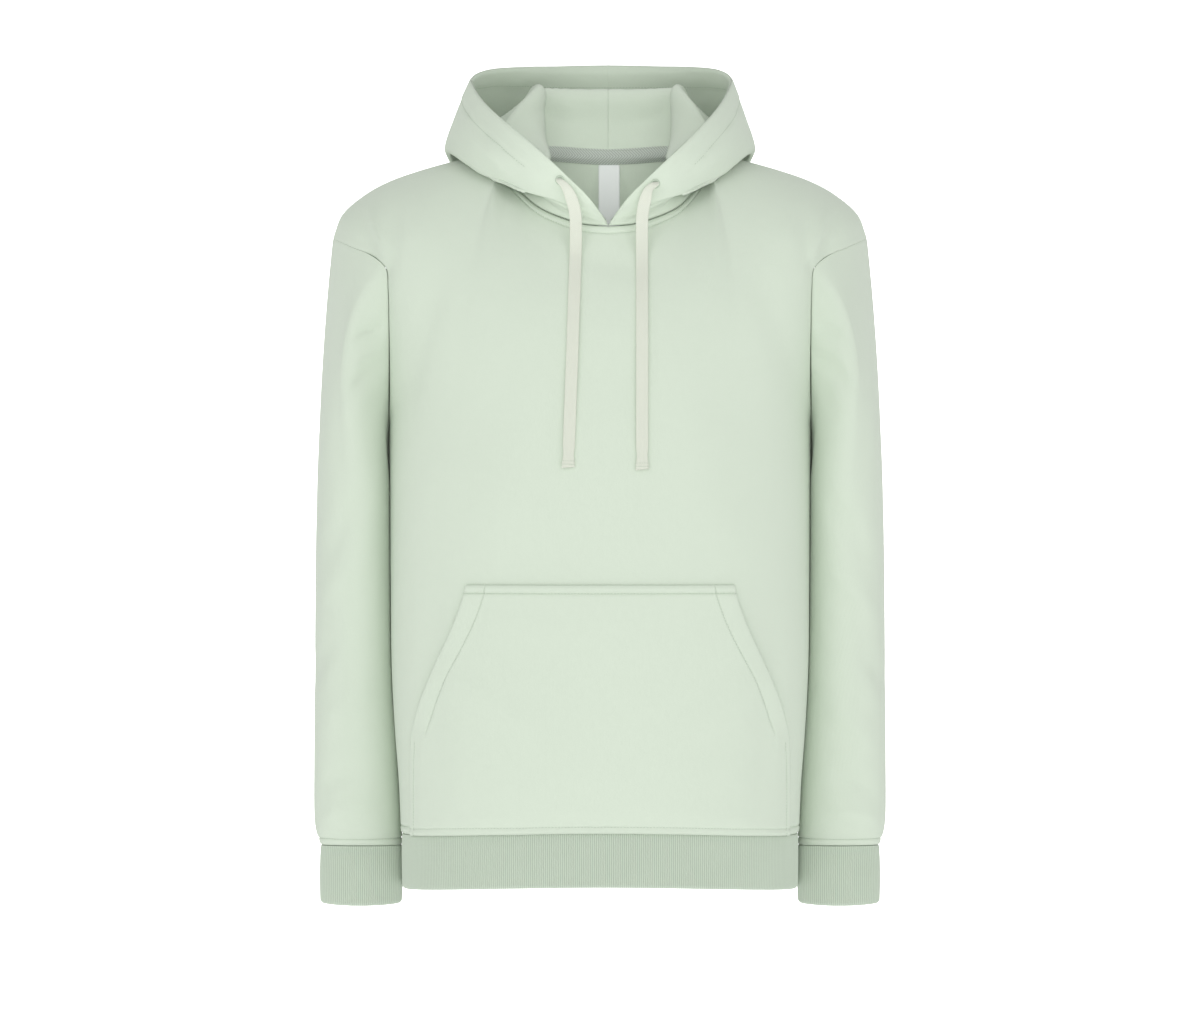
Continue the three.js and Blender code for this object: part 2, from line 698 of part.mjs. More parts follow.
// Kangaroo pocket, laid on the front panel and lifted a little at its middle.
const pocketRows = [-422, -431, -443, -462, -486, -510, -530, -547, -566, -590, -620, -638, -650]
const pocketColumns = 20
const pocketTurn = 1.25
const pocketGap = 1
const pocketRise = 1.6
function pocketGrid() {
  return pocketRows.map((z) => {
    const half = read(pocketWidths, 'half', z)
    const down = (pocketRows[0] - z) / (pocketRows[0] - pocketRows[pocketRows.length - 1])
    const row = []
    for (let j = 0; j <= pocketColumns; j += 1) {
      const share = 2 * j / pocketColumns - 1
      const across = Math.sin(share * pocketTurn) / Math.sin(pocketTurn)
      const place = placeOn(front, across * half, z)
      const rise = pocketRise * Math.sin(down * Math.PI) * Math.cos(across * Math.PI / 2)
      row.push(place.at.addScaledVector(place.normal, pocketGap + bodyCloth + rise))
    }
    return row
  })
}
const pocket = clothOf('pocket', pocketGrid(), bodyCloth, jersey, { flip: true })
cloths.push(pocket)

// Neck tape over the back neck seam: rows above the seam lie on the hood's inner
// face, rows below it on the back panel's inner face.
const tapeStart = 9
const tapeGap = 1.1
const tapeUp = [7.4, 3.6]
const tapeDown = [0.4, 3.2, 6.6]
function tapeGrid() {
  const rows = [[], [], [], [], []]
  const stations = []
  for (let k = tapeStart; k < hood.length; k += 1) stations.push({ k, side: 0 })
  for (let k = hood.length - 2; k >= tapeStart; k -= 1) stations.push({ k, side: 1 })
  stations.forEach(({ k, side }) => {
    const cloth = hoods[side]
    const column = side === 0 ? k - frontNeckSteps : 2 * hood.length - 2 - frontNeckSteps - k
    const panelColumn = column + shoulderSeam.length - 1
    const up = (distance) => alongCloth(cloth, k, distance, hoodCloth)
    const down = (distance) => alongCloth(back, panelColumn, distance, bodyCloth)
    rows[0].push(up(tapeUp[0]))
    rows[1].push(up(tapeUp[1]))
    rows[2].push(down(tapeDown[0]))
    rows[3].push(down(tapeDown[1]))
    rows[4].push(down(tapeDown[2]))
  })
  return rows
}

// Point on the inner face of a cloth at a distance down a column from its first row.
function alongCloth(cloth, column, distance, thickness) {
  let i = 0
  let left = distance
  let span = cloth.grid[1][column].distanceTo(cloth.grid[0][column])
  while (left > span) {
    left -= span
    i += 1
    span = cloth.grid[i + 1][column].distanceTo(cloth.grid[i][column])
  }
  const t = left / span
  const at = cloth.grid[i][column].clone().lerp(cloth.grid[i + 1][column], t)
  const normal = cloth.normals[i][column].clone().lerp(cloth.normals[i + 1][column], t)
  return at.addScaledVector(normal.normalize(), -(thickness + tapeGap))
}
const tape = clothOf('neck_tape', tapeGrid(), tapeCloth, jersey, { flip: false })
cloths.push(tape)

// Bare neck label, held under the lower edge of the tape, hanging straight down.
const labelWidth = 21
const labelLength = 68
const labelOffset = { x: 1, y: -0.9, z: -0.9 }
const labelLean = 2
function labelGrid() {
  const low = tape.grid[tape.grid.length - 1]
  const middle = low[Math.floor(low.length / 2)]
  const steps = [0, 0.15, 0.5, 1]
  return steps.map((part) => [-0.5, 0, 0.5].map((across) => point(
    middle.x + labelOffset.x + across * labelWidth,
    middle.y + labelOffset.y - labelLean * part,
    middle.z + labelOffset.z - part * labelLength,
  )))
}
cloths.push(clothOf('neck_label', labelGrid(), labelCloth, labelWhite, { flip: false }))

const group = new THREE.Group()
group.name = 'pullover_hoodie'
cloths.forEach((cloth) => group.add(wallMesh(cloth)))

// Eyelets in the cord channel and the free cord ends that hang out of them.
const eyelets = [
  { side: 'right', hood: 0, station: 2.12, fromRim: 8 },
  { side: 'left', hood: 1, station: 2, fromRim: 9.5 },
]
const cordDrops = {
  right: [[-33, -44], [-27, -56], [-23.5, -70], [-22.8, -86], [-23, -106], [-23.5, -122],
    [-24, -138], [-24.6, -156], [-25.3, -175], [-26, -200], [-27.5, -240], [-30, -311]],
  left: [[47, -46], [43, -57], [40.4, -70], [39.8, -86], [39.8, -106], [39.8, -122],
    [39.8, -138], [39.8, -156], [39.8, -175], [39.8, -200], [39.8, -240], [39.8, -313]],
}
const cordSag = 1.3
const cordClearOfHood = 4.6
const cordOut = 2.4
const cordAtEyelet = { width: 4, thick: 3.4 }
const cordGrowSteps = 7
const chestBelow = -84
const cordGap = 1.1
const ringSteps = 16

function hoodPlace(cloth, station, fromRim) {
  const k = Math.floor(station)
  const t = station - k
  const ends = [k, k + 1].map((column) => {
    let i = cloth.grid.length - 1
    let left = fromRim
    let span = cloth.grid[i][column].distanceTo(cloth.grid[i - 1][column])
    while (left > span) {
      left -= span
      i -= 1
      span = cloth.grid[i][column].distanceTo(cloth.grid[i - 1][column])
    }
    return {
      at: cloth.grid[i][column].clone().lerp(cloth.grid[i - 1][column], left / span),
      normal: cloth.normals[i][column].clone(),
    }
  })
  const normal = ends[0].normal.lerp(ends[1].normal, t).normalize()
  return { at: ends[0].at.lerp(ends[1].at, t), normal }
}

function eyeletMesh(name, place) {
  const sideways = point(0, 0, 1).cross(place.normal).normalize()
  const upward = place.normal.clone().cross(sideways)
  const profile = [
    [eyeletHole, 0],
    [eyeletRadius, 0],
    [eyeletRadius, eyeletThickness - eyeletRound],
    [eyeletRadius - eyeletRound, eyeletThickness],
    [eyeletHole + eyeletRound, eyeletThickness],
    [eyeletHole, eyeletThickness - eyeletRound],
  ]
  const positions = []
  const faces = []
  for (let i = 0; i < ringSteps; i += 1) {
    const turn = (i / ringSteps) * Math.PI * 2
    profile.forEach(([radius, height]) => {
      const p = place.at.clone().addScaledVector(place.normal, height + layGap)
      p.addScaledVector(sideways, radius * Math.cos(turn))
      p.addScaledVector(upward, radius * Math.sin(turn))
      positions.push(p.x, p.y, p.z)
    })
    for (let k = 0; k < profile.length; k += 1) {
      const a = i * profile.length + k
      const b = i * profile.length + (k + 1) % profile.length
      const c = ((i + 1) % ringSteps) * profile.length + (k + 1) % profile.length
      const d = ((i + 1) % ringSteps) * profile.length + k
      faces.push(a, c, b, a, d, c)
    }
  }
  return solid(name, positions, faces, jersey)
}

// Flat cord with rounded edges along a path, its width growing out of the eyelet.
function cordMesh(name, place, drop) {
  const start = place.at.clone().addScaledVector(place.normal, layGap + eyeletThickness + 0.3)
  const controls = [start, start.clone().addScaledVector(place.normal, cordOut)]
  drop.forEach(([x, z], n) => {
    const chest = z < chestBelow ? placeOn(front, x, z) : null
    const rest = chest ? chest.at.y - cordThickness / 2 - cordGap : 0
    const free = start.y - cordClearOfHood - n * cordSag
    const y = chest ? Math.min(rest, n < 5 ? free : rest) : free
    controls.push(point(x, y, z))
  })
  const steps = controls.slice(1).map(() => 2)
  const line = curveThrough(controls, steps)
  const positions = []
  const faces = []
  const shape = [[0.5, -0.25], [0.5, 0.25], [0.38, 0.5], [-0.38, 0.5], [-0.5, 0.25],
    [-0.5, -0.25], [-0.38, -0.5], [0.38, -0.5]]
  const sides = shape.length
  line.forEach((p, i) => {
    const ahead = line[Math.min(line.length - 1, i + 1)]
    const behind = line[Math.max(0, i - 1)]
    const tangent = i === 0 ? place.normal.clone() : ahead.clone().sub(behind).normalize()
    const across = point(1, 0, 0).addScaledVector(tangent, -tangent.x).normalize()
    const outward = across.clone().cross(tangent).normalize()
    const grown = smoothstep(0, cordGrowSteps, i)
    const width = cordAtEyelet.width + (cordWidth - cordAtEyelet.width) * grown
    const thick = cordAtEyelet.thick + (cordThickness - cordAtEyelet.thick) * grown
    shape.forEach(([u, v]) => {
      const q = p.clone().addScaledVector(across, u * width)
      q.addScaledVector(outward, v * thick)
      positions.push(q.x, q.y, q.z)
    })
  })
  for (let i = 0; i < line.length - 1; i += 1) {
    for (let k = 0; k < sides; k += 1) {
      const a = i * sides + k
      const b = i * sides + (k + 1) % sides
      faces.push(a, b + sides, b, a, a + sides, b + sides)
    }
  }
  const end = (line.length - 1) * sides
  for (let k = 1; k < sides - 1; k += 1) {
    faces.push(0, k, k + 1)
    faces.push(end, end + k + 1, end + k)
  }
  return solid(name, positions, faces, cordCloth)
}

eyelets.forEach((eyelet) => {
  const place = hoodPlace(hoods[eyelet.hood], eyelet.station, eyelet.fromRim)
  group.add(eyeletMesh(`eyelet_${eyelet.side}`, place))
  group.add(cordMesh(`drawcord_${eyelet.side}`, place, cordDrops[eyelet.side]))
})

export default group
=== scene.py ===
import math
import bpy
import numpy as np
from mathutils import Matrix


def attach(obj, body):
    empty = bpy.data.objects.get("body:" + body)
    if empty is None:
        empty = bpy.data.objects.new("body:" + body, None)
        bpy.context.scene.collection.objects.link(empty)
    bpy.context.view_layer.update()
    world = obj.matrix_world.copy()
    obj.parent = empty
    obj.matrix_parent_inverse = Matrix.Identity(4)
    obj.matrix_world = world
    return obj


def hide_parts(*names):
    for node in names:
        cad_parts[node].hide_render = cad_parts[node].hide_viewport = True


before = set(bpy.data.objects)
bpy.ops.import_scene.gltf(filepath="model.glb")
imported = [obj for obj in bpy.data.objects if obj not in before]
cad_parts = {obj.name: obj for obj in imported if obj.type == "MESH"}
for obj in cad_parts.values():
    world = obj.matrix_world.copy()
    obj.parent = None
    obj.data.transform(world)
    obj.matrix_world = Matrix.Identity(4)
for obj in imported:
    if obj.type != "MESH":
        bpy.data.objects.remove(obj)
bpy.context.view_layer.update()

# Camera, light and floor of the photograph: level, straight at the front, five
# metres away, with soft boxes beside the camera and a white wall far behind.
MM = 0.001
CAMERA_BACK = 5.0
CAMERA_HEIGHT = -0.351
VIEW_WIDTH = 1.164
scene = bpy.context.scene
camera_data = bpy.data.cameras.new("camera")
camera_data.sensor_width = 36
camera_data.lens = 36 * CAMERA_BACK / VIEW_WIDTH
camera = bpy.data.objects.new("camera", camera_data)
camera.location = (0, -CAMERA_BACK, CAMERA_HEIGHT)
camera.rotation_euler = (math.radians(90), 0, 0)
scene.collection.objects.link(camera)
scene.camera = camera
scene.view_settings.view_transform = "Standard"

world = bpy.data.worlds.new("room")
world.use_nodes = True
world.node_tree.nodes["Background"].inputs["Color"].default_value = (1, 1, 1, 1)
world.node_tree.nodes["Background"].inputs["Strength"].default_value = 0.64
scene.world = world


def lamp(name, data, place, aim):
    thing = bpy.data.objects.new(name, data)
    thing.location = place
    direction = np.array(aim, float) - np.array(place, float)
    flat = math.hypot(direction[0], direction[1])
    thing.rotation_euler = (math.atan2(flat, -direction[2]), 0,
                            math.atan2(direction[1], direction[0]) - math.pi / 2)
    scene.collection.objects.link(thing)


def soft_light(name, place, aim, size, power):
    data = bpy.data.lights.new(name, "AREA")
    data.shape = "RECTANGLE"
    data.size, data.size_y = size
    data.energy = power
    lamp(name, data, place, aim)


soft_light("middle box", (0.0, -4.9, -0.1), (0, 0, -0.3), (0.6, 0.6), 36)
soft_light("left box", (-2.4, -3.2, 1.6), (0, 0, -0.3), (1.6, 1.6), 14)
soft_light("right box", (2.4, -3.2, 1.4), (0, 0, -0.3), (1.6, 1.6), 11)
snoot = bpy.data.lights.new("neck snoot", "SPOT")
snoot.energy = 190
snoot.shadow_soft_size = 0.05
snoot.spot_size = 0.042
snoot.spot_blend = 1.0
lamp("neck snoot", snoot, (0.0, -4.8, -0.1), (0, 0, -0.015))


def plain_sheet(name, corners, glow):
    """Floor or wall: flat, white and matt, and lit by itself where it glows."""
    mesh = bpy.data.meshes.new(name)
    mesh.from_pydata(corners, [], [(0, 1, 2, 3)])
    thing = bpy.data.objects.new(name, mesh)
    white = bpy.data.materials.new(name)
    white.use_nodes = True
    shader = white.node_tree.nodes["Principled BSDF"]
    shader.inputs["Base Color"].default_value = (0.9, 0.9, 0.9, 1)
    shader.inputs["Roughness"].default_value = 1
    shader.inputs["Emission Color"].default_value = (1, 1, 1, 1)
    shader.inputs["Emission Strength"].default_value = glow
    mesh.materials.append(white)
    scene.collection.objects.link(thing)


FLOOR = -1.45
WALL = 6.6
plain_sheet("floor", [(-7, -7, FLOOR), (7, -7, FLOOR), (7, WALL, FLOOR), (-7, WALL, FLOOR)], 0.3)
plain_sheet("wall", [(-4, WALL, -3), (4, WALL, -3), (4, WALL, 3), (-4, WALL, 3)], 1.1)


# Front panel: brushed cotton jersey, cut in one piece with a dropped shoulder and
# a round neck, and sewn to the back, the sleeves, the hood and the hem band.
TORSO = np.array([
    # z, side, front, back
    [-200, 202, 138, 121],
    [-270, 204, 140, 122],
    [-345, 203.5, 138.5, 120],
    [-410, 203, 135.5, 118],
    [-500, 202, 132, 116],
    [-560, 199, 128.5, 115],
    [-613, 195, 125, 113.5],
    [-645, 193.5, 121.5, 111],
    [-656, 193, 119, 109.5],
    [-664, 191.5, 114.5, 106.5],
])
HEM, HEM_MIDDLE_FRONT, HEM_MIDDLE_BACK = -664, -657, -665
CHEST_FRONT, CHEST_BACK = -200, -196
SIDE, FRONT, BACK = 1, 2, 3
NECK = np.array([
    [0, -98, -81], [-24, -96, -79], [-46, -88, -72], [-66, -75, -62], [-81, -59, -48],
    [-92, -41, -34], [-97, -22, -18], [-97, 0, -6], [-90, 22, -3], [-74, 43, -2],
    [-50, 60, -2], [-26, 69, -3], [0, 72, -4],
], float)
NECK_SIDE = 7
SHOULDER = np.array([
    [-97, 0, -6], [-135, 2, -11], [-172, 3, -20.5], [-205, 3, -32], [-230, 2, -46],
    [-251, 1, -65], [-259, 0, -88],
], float)
ARMHOLE = np.array([
    [-259, 0, -88], [-249, -27, -93], [-237, -47, -99], [-223, -62, -105], [-211, -72, -113],
    [-204, -76, -122], [-202.5, -75, -138], [-202, -72, -155], [-202, -67, -172],
    [-202, -60, -190], [-202.3, -51, -212], [-203, -39, -237], [-203.7, -23, -260],
    [-204, 0, -270],
], float)
CHEST = 9
ARM_FOOT = -270
BACK_ARM = 0.95
RING_POWER = 2.4
NECK_SHARE = 0.58
NECK_SHIFT = 8
JERSEY_THICK = 2.0
JERSEY = (214, 226, 209)


def smooth(low, high, value):
    t = np.clip((np.asarray(value, float) - low) / (high - low), 0, 1)
    return t * t * (3 - 2 * t)


def bell(value, middle, width):
    return np.exp(-((np.asarray(value, float) - middle) / width) ** 2)


def spline(points, u):
    """Smooth curve through points, read at u from 0 to the last point's number."""
    p = np.asarray(points, float)
    last = len(p) - 1
    u = np.clip(np.atleast_1d(np.asarray(u, float)), 0, last)
    i = np.minimum(u.astype(int), last - 1)
    shape = (-1,) + (1,) * (p.ndim - 1)
    t = (u - i).reshape(shape)
    a, b, c, d = p[np.maximum(i - 1, 0)], p[i], p[i + 1], p[np.minimum(i + 2, last)]
    start = np.where((i > 0).reshape(shape), (c - a) / 2, c - b)
    end = np.where((i < last - 1).reshape(shape), (d - b) / 2, c - b)
    t2, t3 = t * t, t * t * t
    return ((2 * t3 - 3 * t2 + 1) * b + (t3 - 2 * t2 + t) * start
            + (3 * t2 - 2 * t3) * c + (t3 - t2) * end)


def read(table, column, z):
    """Smooth reading of a table whose first column falls."""
    z = np.clip(np.asarray(z, float), table[-1, 0], table[0, 0])
    keys, values = table[:, 0], table[:, column]
    last = len(keys) - 1
    i = np.clip(np.searchsorted(-keys, -z, side="right") - 1, 0, last - 1)
    low, high = np.maximum(i - 1, 0), np.minimum(i + 2, last)
    before = (values[i + 1] - values[low]) / (keys[i + 1] - keys[low])
    after = (values[high] - values[i]) / (keys[high] - keys[i])
    span = keys[i + 1] - keys[i]
    t = (z - keys[i]) / span
    t2, t3 = t * t, t * t * t
    return ((2 * t3 - 3 * t2 + 1) * values[i] + (t3 - 2 * t2 + t) * span * before
            + (3 * t2 - 2 * t3) * values[i + 1] + (t3 - t2) * span * after)


def settle(grid):
    """The neck and hood hang a little to the wearer's left, as in the photograph."""
    out = grid.copy()
    inner = 1 - smooth(60, 150, np.abs(grid[..., 0]))
    out[..., 0] += NECK_SHIFT * inner * smooth(-260, -110, grid[..., 2])
    return out


def along(line, places):
    """Points of a polyline at the given lengths along it."""
    run = np.concatenate([[0], np.cumsum(np.linalg.norm(np.diff(line, axis=0), axis=1))])
    return np.stack([np.interp(places, run, line[:, k]) for k in range(3)], axis=1)


def length(line):
    return np.linalg.norm(np.diff(line, axis=0), axis=1).sum()


def closed_length(line):
    return length(np.vstack([line, line[:1]]))


def quarter_ring(middle, side, shares):
    """Quarter of a body ring, cut short where it meets an armhole."""
    cut = min(1, abs(side[1] / middle[1]))
    turn = np.linspace(0, math.acos(cut ** (RING_POWER / 2)), 160)
    across = np.sin(turn) ** (2 / RING_POWER)
    deep = np.cos(turn).clip(0) ** (2 / RING_POWER)
    across = across / across[-1]
    line = np.stack([
        middle[0] + (side[0] - middle[0]) * across,
        middle[1] * deep,
        middle[2] + (side[2] - middle[2]) * across ** 2,
    ], axis=1)
    return along(line, shares * length(line))


UNDERARM, UNDERARM_SPREAD, UNDERARM_EASING = -262, 34, 60
ARM_CORNER, CORNER_SPREAD = -116, 16


def half_panel(facing, neck_count, shoulder_count, yoke_count, arm_count, side_count):
    """Half of the front (facing -1) or back (1), x below zero, from the middle out."""
    neck_shares = np.linspace(0, NECK_SHARE, neck_count + 1)
    shares = np.concatenate([neck_shares, np.linspace(NECK_SHARE, 1, shoulder_count + 1)[1:]])
    ends = (0, NECK_SIDE) if facing < 0 else (len(NECK) - 1, NECK_SIDE)
    neck = spline(NECK, np.linspace(*ends, neck_count + 1))
    shoulder = spline(SHOULDER, np.linspace(0, len(SHOULDER) - 1, shoulder_count + 1))
    top = np.concatenate([neck, shoulder[1:]])
    arm = ARMHOLE.copy()
    if facing > 0:
        arm[:, 1] *= -BACK_ARM
    depth = FRONT if facing < 0 else BACK
    chest_z = CHEST_FRONT if facing < 0 else CHEST_BACK
    chest = quarter_ring((0, facing * read(TORSO, depth, chest_z), chest_z), arm[CHEST], shares)
    on_neck = np.clip(1 - shares / NECK_SHARE, 0, 1)
    hollow = on_neck * (1 - on_neck) * 2
    rise = np.stack([0 * shares, facing * (-0.03 + 0.36 * shares ** 4), 1 + 0 * shares], axis=1)
    if facing < 0:
        arrive = np.stack([0.55 * hollow, 1 - 0.45 * on_neck, 0.85 * on_neck + 0.1], axis=1)
    else:
        arrive = np.stack([0.5 * hollow, -1 + 0.62 * on_neck, 0.95 * on_neck + 0.1], axis=1)
    arrive /= np.linalg.norm(arrive, axis=1, keepdims=True)
    reach = np.linalg.norm(chest - top, axis=1, keepdims=True)
    lower = chest + rise * reach * (0.42 - 0.06 * on_neck[:, None])
    upper = top - arrive * reach * (0.34 - 0.04 * on_neck[:, None])
    arm_line = spline(arm, np.linspace(0, CHEST, yoke_count + 1))
    near = smooth(NECK_SHARE, 1, shares)[:, None]
    rows = []
    for i in range(yoke_count):
        t = i / yoke_count
        s = 1 - t
        row = s ** 3 * top + 3 * s * s * t * upper + 3 * s * t * t * lower + t ** 3 * chest
        if i:
            row = row + (arm_line[i] - row[-1]) * near
        rows.append(row)
    rows.append(chest)
    sides = list(spline(arm, np.linspace(CHEST, len(arm) - 1, arm_count + 1))[1:])
    for z in np.linspace(ARM_FOOT, HEM, side_count + 1)[1:]:
        sides.append(np.array([-read(TORSO, SIDE, z), 0, z]))
    middle_end = HEM_MIDDLE_FRONT if facing < 0 else HEM_MIDDLE_BACK
    for side in sides:
        t = (side[2] - arm[CHEST, 2]) / (HEM - arm[CHEST, 2])
        z = chest_z + (middle_end - chest_z) * t
        level = z + (side[2] - z) * smooth(0.86, 0.94, t)
        rows.append(quarter_ring((0, facing * read(TORSO, depth, level), z), side, shares))
    grid = np.array(rows)
    # The cloth bridges the turn under the arm, so no line crosses the chest there.
    ease = bell(grid[..., 2], UNDERARM, UNDERARM_SPREAD) * (1 - smooth(0.78, 0.97, shares))
    for _ in range(UNDERARM_EASING):
        grid[1:-1] += ((grid[:-2] + grid[2:]) / 2 - grid[1:-1]) * ease[1:-1, :, None]
    return grid


def full_panel(facing, counts):
    right = half_panel(facing, *counts)
    left = right[:, 1:] * np.array([-1, 1, 1])
    return np.concatenate([right[:, ::-1], left], axis=1)


def closer(grid, distances, end=False, columns=False):
    """Adds rows (or columns) at fixed distances from one edge of a grid."""
    g = grid.transpose(1, 0, 2) if columns else grid
    g = g[::-1] if end else g
    run = np.cumsum(np.linalg.norm(np.diff(g, axis=0), axis=2), axis=0)
    run = np.concatenate([np.zeros((1, g.shape[1])), run])
    k = int(np.argmax(run.min(axis=1) > distances[-1] * 1.15 + 0.5))
    more = max(1, k - 1)
    targets = [np.full(g.shape[1], float(d)) for d in distances]
    for q in range(1, more):
        targets.append(distances[-1] + (run[k] - distances[-1]) * q / more)
    new = np.zeros((len(targets), g.shape[1], 3))
    for c in range(g.shape[1]):
        places = [t[c] for t in targets]
        for axis in range(3):
            new[:, c, axis] = np.interp(places, run[: k + 1, c], g[: k + 1, c, axis])
    g = np.concatenate([g[:1], new, g[k:]])
    g = g[::-1] if end else g
    return g.transpose(1, 0, 2) if columns else g


def spans(grid, axis, ring=False):
    if ring:
        return np.roll(grid, -1, axis) - np.roll(grid, 1, axis)
    return np.gradient(grid, axis=axis)


def normals_of(grid, flip, ring=False):
    n = np.cross(spans(grid, 1, ring), spans(grid, 0))
    n /= np.linalg.norm(n, axis=2, keepdims=True) + 1e-12
    return -n if flip else n


def run_from(grid, end=False, columns=False):
    """Length of cloth from one edge of a grid to each of its points."""
    g = grid.transpose(1, 0, 2) if columns else grid
    g = g[::-1] if end else g
    run = np.concatenate([np.zeros((1, g.shape[1])),
                          np.cumsum(np.linalg.norm(np.diff(g, axis=0), axis=2), axis=0)])
    run = run[::-1] if end else run
    return run.T if columns else run


FOLD_DEPTH = 1.6


def fold_heights(grid, folds):
    """Height of the soft troughs and ridges at each point, each fold a short line."""
    a, b = grid[..., 0], grid[..., 2]
    total = np.zeros(a.shape)
    for x0, z0, x1, z1, width, depth in folds:
        dx, dz = x1 - x0, z1 - z0
        long = math.hypot(dx, dz)
        t = ((a - x0) * dx + (b - z0) * dz) / long ** 2
        off = ((a - x0) * dz - (b - z0) * dx) / long
        fade = smooth(-0.15, 0.3, t) * (1 - smooth(0.7, 1.15, t))
        side = np.where(off > 0, 1.0, 1.25)
        total += depth * fade * bell(off * side, 0, width)
    return total * FOLD_DEPTH


def shell(name, grid, normals, thick, relief, material, ring=False, flip=False):
    """Thin wall: the outer face from grid and relief, the inner face one thickness in."""
    outer = grid + normals * relief[..., None]
    inner = grid - normals * thick[..., None]
    rows, columns = grid.shape[:2]
    points = np.concatenate([outer.reshape(-1, 3), inner.reshape(-1, 3)]) * MM
    i, j = np.meshgrid(np.arange(rows - 1), np.arange(columns if ring else columns - 1),
                       indexing="ij")
    i, j = i.ravel(), j.ravel()
    k = (j + 1) % columns
    a, b, c, d = i * columns + j, i * columns + k, (i + 1) * columns + k, (i + 1) * columns + j
    below = rows * columns
    faces = [np.stack([a, b, c, d], 1), np.stack([a, d, c, b], 1) + below]
    e = np.arange(columns if ring else columns - 1)
    f = (e + 1) % columns
    low = (rows - 1) * columns
    faces.append(np.stack([e, e + below, f + below, f], 1))
    faces.append(np.stack([low + e, low + f, low + f + below, low + e + below], 1))
    if not ring:
        g = np.arange(rows - 1) * columns
        h = g + columns
        far = columns - 1
        faces.append(np.stack([g, h, h + below, g + below], 1))
        faces.append(np.stack([g + far, g + far + below, h + far + below, h + far], 1))
    quads = np.concatenate(faces)
    if not flip:
        quads = quads[:, ::-1]
    across = run_from(grid, columns=True)
    across = across - across[:, columns // 2][:, None]
    down = run_from(grid)
    uv = np.stack([across, -down], axis=-1).reshape(-1, 2) * MM
    uv = np.concatenate([uv, uv])
    seam = None
    if ring:
        total = across[:, -1] - across[:, 0] + np.linalg.norm(grid[:, 0] - grid[:, -1], axis=1)
        seam = np.tile(total.repeat(columns), 2) * MM
    mesh = bpy.data.meshes.new(name)
    mesh.from_pydata(points.tolist(), [], quads.tolist())
    layer = mesh.uv_layers.new(name="cloth")
    loops = quads.ravel()
    values = uv[loops].copy()
    if ring:
        column = (loops % columns).reshape(-1, 4)
        wraps = (column.max(1) == columns - 1) & (column.min(1) == 0)
        lift = (wraps[:, None] & (column == 0)).ravel()
        values[lift, 0] += seam[loops[lift]]
    layer.data.foreach_set("uv", values.astype(np.float32).ravel())
    mesh.polygons.foreach_set("use_smooth", [True] * len(mesh.polygons))
    mesh.materials.append(material)
    mesh.update()
    thing = bpy.data.objects.new(name, mesh)
    scene.collection.objects.link(thing)
    return thing


def srgb(r, g, b, dim=1.0):
    values = [v / 255 for v in (r, g, b)]
    return tuple(dim * (v / 12.92 if v <= 0.04045 else ((v + 0.055) / 1.055) ** 2.4)
                 for v in values) + (1.0,)


class Field:
    """A shader socket with the sums written as sums."""

    def __init__(self, socket):
        self.socket = socket

    def math(self, operation, *values):
        node = self.socket.id_data.nodes.new("ShaderNodeMath")
        node.operation = operation
        for slot, value in zip(node.inputs, [self, *values]):
            feed(slot, value)
        return Field(node.outputs[0])

    def __add__(self, other):
        return self.math("ADD", other)

    def __mul__(self, other):
        return self.math("MULTIPLY", other)


def feed(socket, value):
    if isinstance(value, Field):
        socket.id_data.links.new(value.socket, socket)
    else:
        socket.default_value = value


class Look:
    """A material with one Principled shader, and the nodes that feed it."""

    def __init__(self, name, roughness, sheen=0.0):
        self.material = bpy.data.materials.new(name)
        self.material.use_nodes = True
        self.tree = self.material.node_tree
        self.shader = self.tree.nodes["Principled BSDF"]
        self.shader.inputs["Roughness"].default_value = roughness
        self.shader.inputs["Sheen Weight"].default_value = sheen
        self.shader.inputs["Sheen Roughness"].default_value = 0.6
        self.shader.inputs["Specular IOR Level"].default_value = 0.15

    def node(self, kind, settings=None, **inputs):
        node = self.tree.nodes.new("ShaderNode" + kind)
        for key, value in (settings or {}).items():
            setattr(node, key, value)
        for key, value in inputs.items():
            feed(node.inputs[key.replace("_", " ")], value)
        return node

    def cloth_axes(self):
        uv = self.node("UVMap", {"uv_map": "cloth"})
        parts = self.node("SeparateXYZ", Vector=Field(uv.outputs["UV"]))
        return Field(parts.outputs["X"]), Field(parts.outputs["Y"])

    def attribute(self, name):
        return Field(self.node("Attribute", {"attribute_name": name}).outputs["Fac"])

    def noise(self, scale, detail=3.0, rough=0.55):
        place = self.node("TexCoord")
        noise = self.node("TexNoise", {}, Vector=Field(place.outputs["Object"]), Scale=scale,
                          Detail=detail, Roughness=rough)
        return Field(noise.outputs["Fac"])

    def colour(self, share, low, high):
        mix = self.node("Mix", {"data_type": "RGBA", "clamp_factor": False})
        feed(mix.inputs[0], share)
        mix.inputs[6].default_value = low
        mix.inputs[7].default_value = high
        self.tree.links.new(mix.outputs[2], self.shader.inputs["Base Color"])

    def bump(self, height, distance, strength=1.0):
        node = self.node("Bump", {}, Height=height, Distance=distance, Strength=strength)
        self.tree.links.new(node.outputs["Normal"], self.shader.inputs["Normal"])


